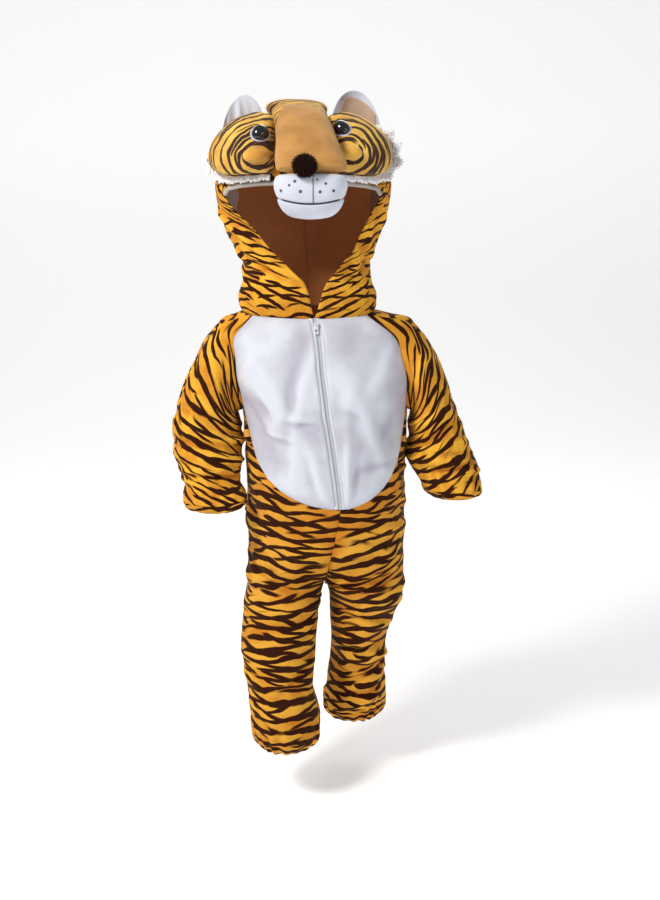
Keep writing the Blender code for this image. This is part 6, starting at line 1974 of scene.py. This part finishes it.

# Ears
# Two layers of white plush with their rim curled forward. The wearer's left one carries a beige inner
# sheet, painted shade and warm reflection on the white plush, and the other one is creased down its middle.
EARS = {-1: (-0.101, 0.022, 0.034, 0.058), 1: (0.078, 0.022, 0.04, 0.058)}
EAR_NARROWING = 0.5
EAR_THICK = 0.0035
EAR_LEAN = 0.1
EAR_CURL = 0.01
EAR_FOOT = 0.0015
EAR_COLUMNS = 9
EAR_ROWS = 6


def ear_sheet(side, offset, wide=1.0, low=0.0, high=1.0):
    """One face of an ear, or a part of it; the foot stands on the hood and the rim curls forward."""
    centre_x, centre_y, half, height = EARS[side]
    sheet = []
    for i in range(EAR_ROWS):
        v = high + (low - high) * i / (EAR_ROWS - 1)
        row = []
        for j in range(EAR_COLUMNS):
            u = wide * (-1 + 2 * j / (EAR_COLUMNS - 1))
            x = centre_x + half * u * math.sqrt(1 - EAR_NARROWING * v * v)
            rise = height * v * math.sqrt(1 - 0.5 * u * u)
            round_off = math.sqrt(max(1 - 0.8 * u * u, 0.0)) * math.sqrt(1 - 0.75 * v * v)
            thick = math.copysign(EAR_THICK, offset)
            y = centre_y - EAR_CURL * u * u - EAR_LEAN * rise + thick * (0.4 + 0.6 * round_off)
            y += offset - thick
            row.append(np.array((x + side * 0.12 * rise, y, dome_height(x, centre_y) + EAR_FOOT + rise)))
        sheet.append(row)
    return np.array(sheet)


# The beige of this inner sheet is painted shade and warm reflection; the ear is white plush.
ear_lining = fleece("ear_inner_painted_shade_cloth", (0.6, 0.42, 0.3), (0.4, 0.25, 0.17), 0.0009, 0.3)
EAR_FOLDS = {
    -1: ((0.1, 0.5, 0.06, 0.0042), (0.62, 0.4, 0.05, -0.0026), (-0.45, 0.5, 0.08, 0.002)),
    1: ((-0.5, 0.3, 0.1, -0.002), (0.5, 0.6, 0.1, 0.002)),
}


def ear_faces(side, layers):
    """The front and the back of an ear, or of a layer of it, with its creases."""
    both = np.concatenate([ear_sheet(side, *layer) for layer in layers], axis=2)
    both = refine(both, 0.0024)
    wide, low, high = layers[0][1:]
    u = wide * np.linspace(-1.0, 1.0, both.shape[1])[None, :]
    v = np.linspace(high, low, both.shape[0])[:, None]
    for at, level, width, height in EAR_FOLDS[side]:
        fold = height * np.exp(-((u - at) / width) ** 2 / 4 - ((v - level) / 0.35) ** 2)
        both[:, :, 1] -= fold
        both[:, :, 4] -= fold
    return both[:, :, :3], both[:, :, 3:]


for side in SIDES:
    front, back = ear_faces(side, ((-EAR_THICK, 1.0, 0.0, 1.0), (EAR_THICK, 1.0, 0.0, 1.0)))
    node = "ear_" + SIDE_NAMES[side]
    piece = pillow_piece(node + "_plush", front, back, white_fleece)
    settle(piece, node, "white_plush")
part = (0.74, 0.12, 0.8)
far, near_sheet = ear_faces(1, [(-EAR_THICK - off, *part) for off in (0.002, 0.0005)])
inner_ear = pillow_piece("ear_inner_left_cloth", far, near_sheet, ear_lining)
settle(inner_ear, "ear_inner_left", "ear_lining")

# White fringe
# Long white pile along the lower and outer edges of the cheeks: a fleece strip with many tufts.
FRINGE_COLUMNS = ("place", "reach", "outward")
FRINGES = {
    -1: (
        (0.06, 0.004, 0.1),
        (0.5, 0.006, 0.15),
        (0.8, 0.011, 0.45),
        (1.0, 0.018, 0.75),
        (1.3, 0.016, 0.95),
        (1.6, 0.004, 1.0),
    ),
    1: (
        (0.06, 0.004, 0.1),
        (0.5, 0.006, 0.15),
        (0.8, 0.012, 0.45),
        (1.0, 0.024, 0.75),
        (1.4, 0.031, 0.95),
        (1.85, 0.006, 1.0),
    ),
}
FRINGE_THICK = 0.002
FRINGE_CLEAR = (1.03, 1.045)
FRINGE_TUFTS = 9
FRINGE_NOTCH = 0.3
FRINGE_FOOT = 0.0046
FRINGE_LENGTHS = 4


def fringe_root(side, place):
    """A point just outside the cheek's border, and the way out of the hood there."""
    u, v = (2.0 * place - 1.0, -1.0) if place <= 1.0 else (1.0, 2.0 * (place - 1.0) - 1.0)
    a, b = cheek_place(u, v)
    turn, level = cheek_foot(side, a * FRINGE_CLEAR[0], b * FRINGE_CLEAR[1])
    out = dome_normal(turn, level)
    return dome_point(turn, level) + out * FRINGE_FOOT, out


FRINGE_PILE = (0.0044, 0.0044, 0.005)


def fringe_rows(side):
    table = FRINGES[side]
    first, last = table[0][0], table[-1][0]
    rows = FRINGE_TUFTS * 2 + 1
    front, back = [], []
    for i in range(rows):
        place = first + (last - first) * i / (rows - 1)
        root, out = fringe_root(side, place)
        along = unit(fringe_root(side, min(place + 0.02, 2.0))[0] - fringe_root(side, place - 0.02)[0])
        read = [smooth_column(table, FRINGE_COLUMNS, name, place, "place") for name in FRINGE_COLUMNS]
        reach, outward = read[1:]
        away = facing(np.cross(along, out), root - cheek_top(side, 0.0, 0.0))
        way = unit(out * outward + away * (1.0 - outward) + np.array((0.0, 0.0, -0.25)))
        way = unit(way - along * float(np.dot(way, along)))
        across = facing(unit(np.cross(way, along)), out + FORWARD)
        reach *= 1.0 - FRINGE_NOTCH * (i % 2)
        steps = [j / (FRINGE_LENGTHS - 1) for j in range(FRINGE_LENGTHS)]
        thicks = [0.5 * FRINGE_THICK * (1.0 - 0.4 * t) for t in steps]
        front.append([root + way * reach * t + across * k for t, k in zip(steps, thicks)])
        back.append([root + way * reach * t - across * k for t, k in zip(steps, thicks)])
    both = refine(np.concatenate((np.array(front), np.array(back)), axis=2), 0.0025)
    return both[:, :, :3], both[:, :, 3:]


for side in SIDES:
    front, back = fringe_rows(side)
    rows, columns = front.shape[:2]
    node = "fringe_" + SIDE_NAMES[side]
    piece = pillow_piece(node + "_fleece", front, back, white_pile)
    settle(piece, node, "white_plush")
    draw = np.random.default_rng(71 + side)
    roots, ways, outs = [], [], []
    for i in range(rows):
        way = unit(front[i, -1] - front[i, 0])
        face = unit(np.cross(way, front[min(i + 1, rows - 1), 0] - front[max(i - 1, 0), 0]))
        for j in range(columns):
            for sheet in (front, back):
                roots.append(sheet[i, j])
                ways.append(way + 0.22 * draw.normal(size=3))
                outs.append(face)
    pile = repeated(node + "_pile", np.array(roots), ways, outs, "tuft", FRINGE_PILE, 0.3, white_pile)
    trim(pile)
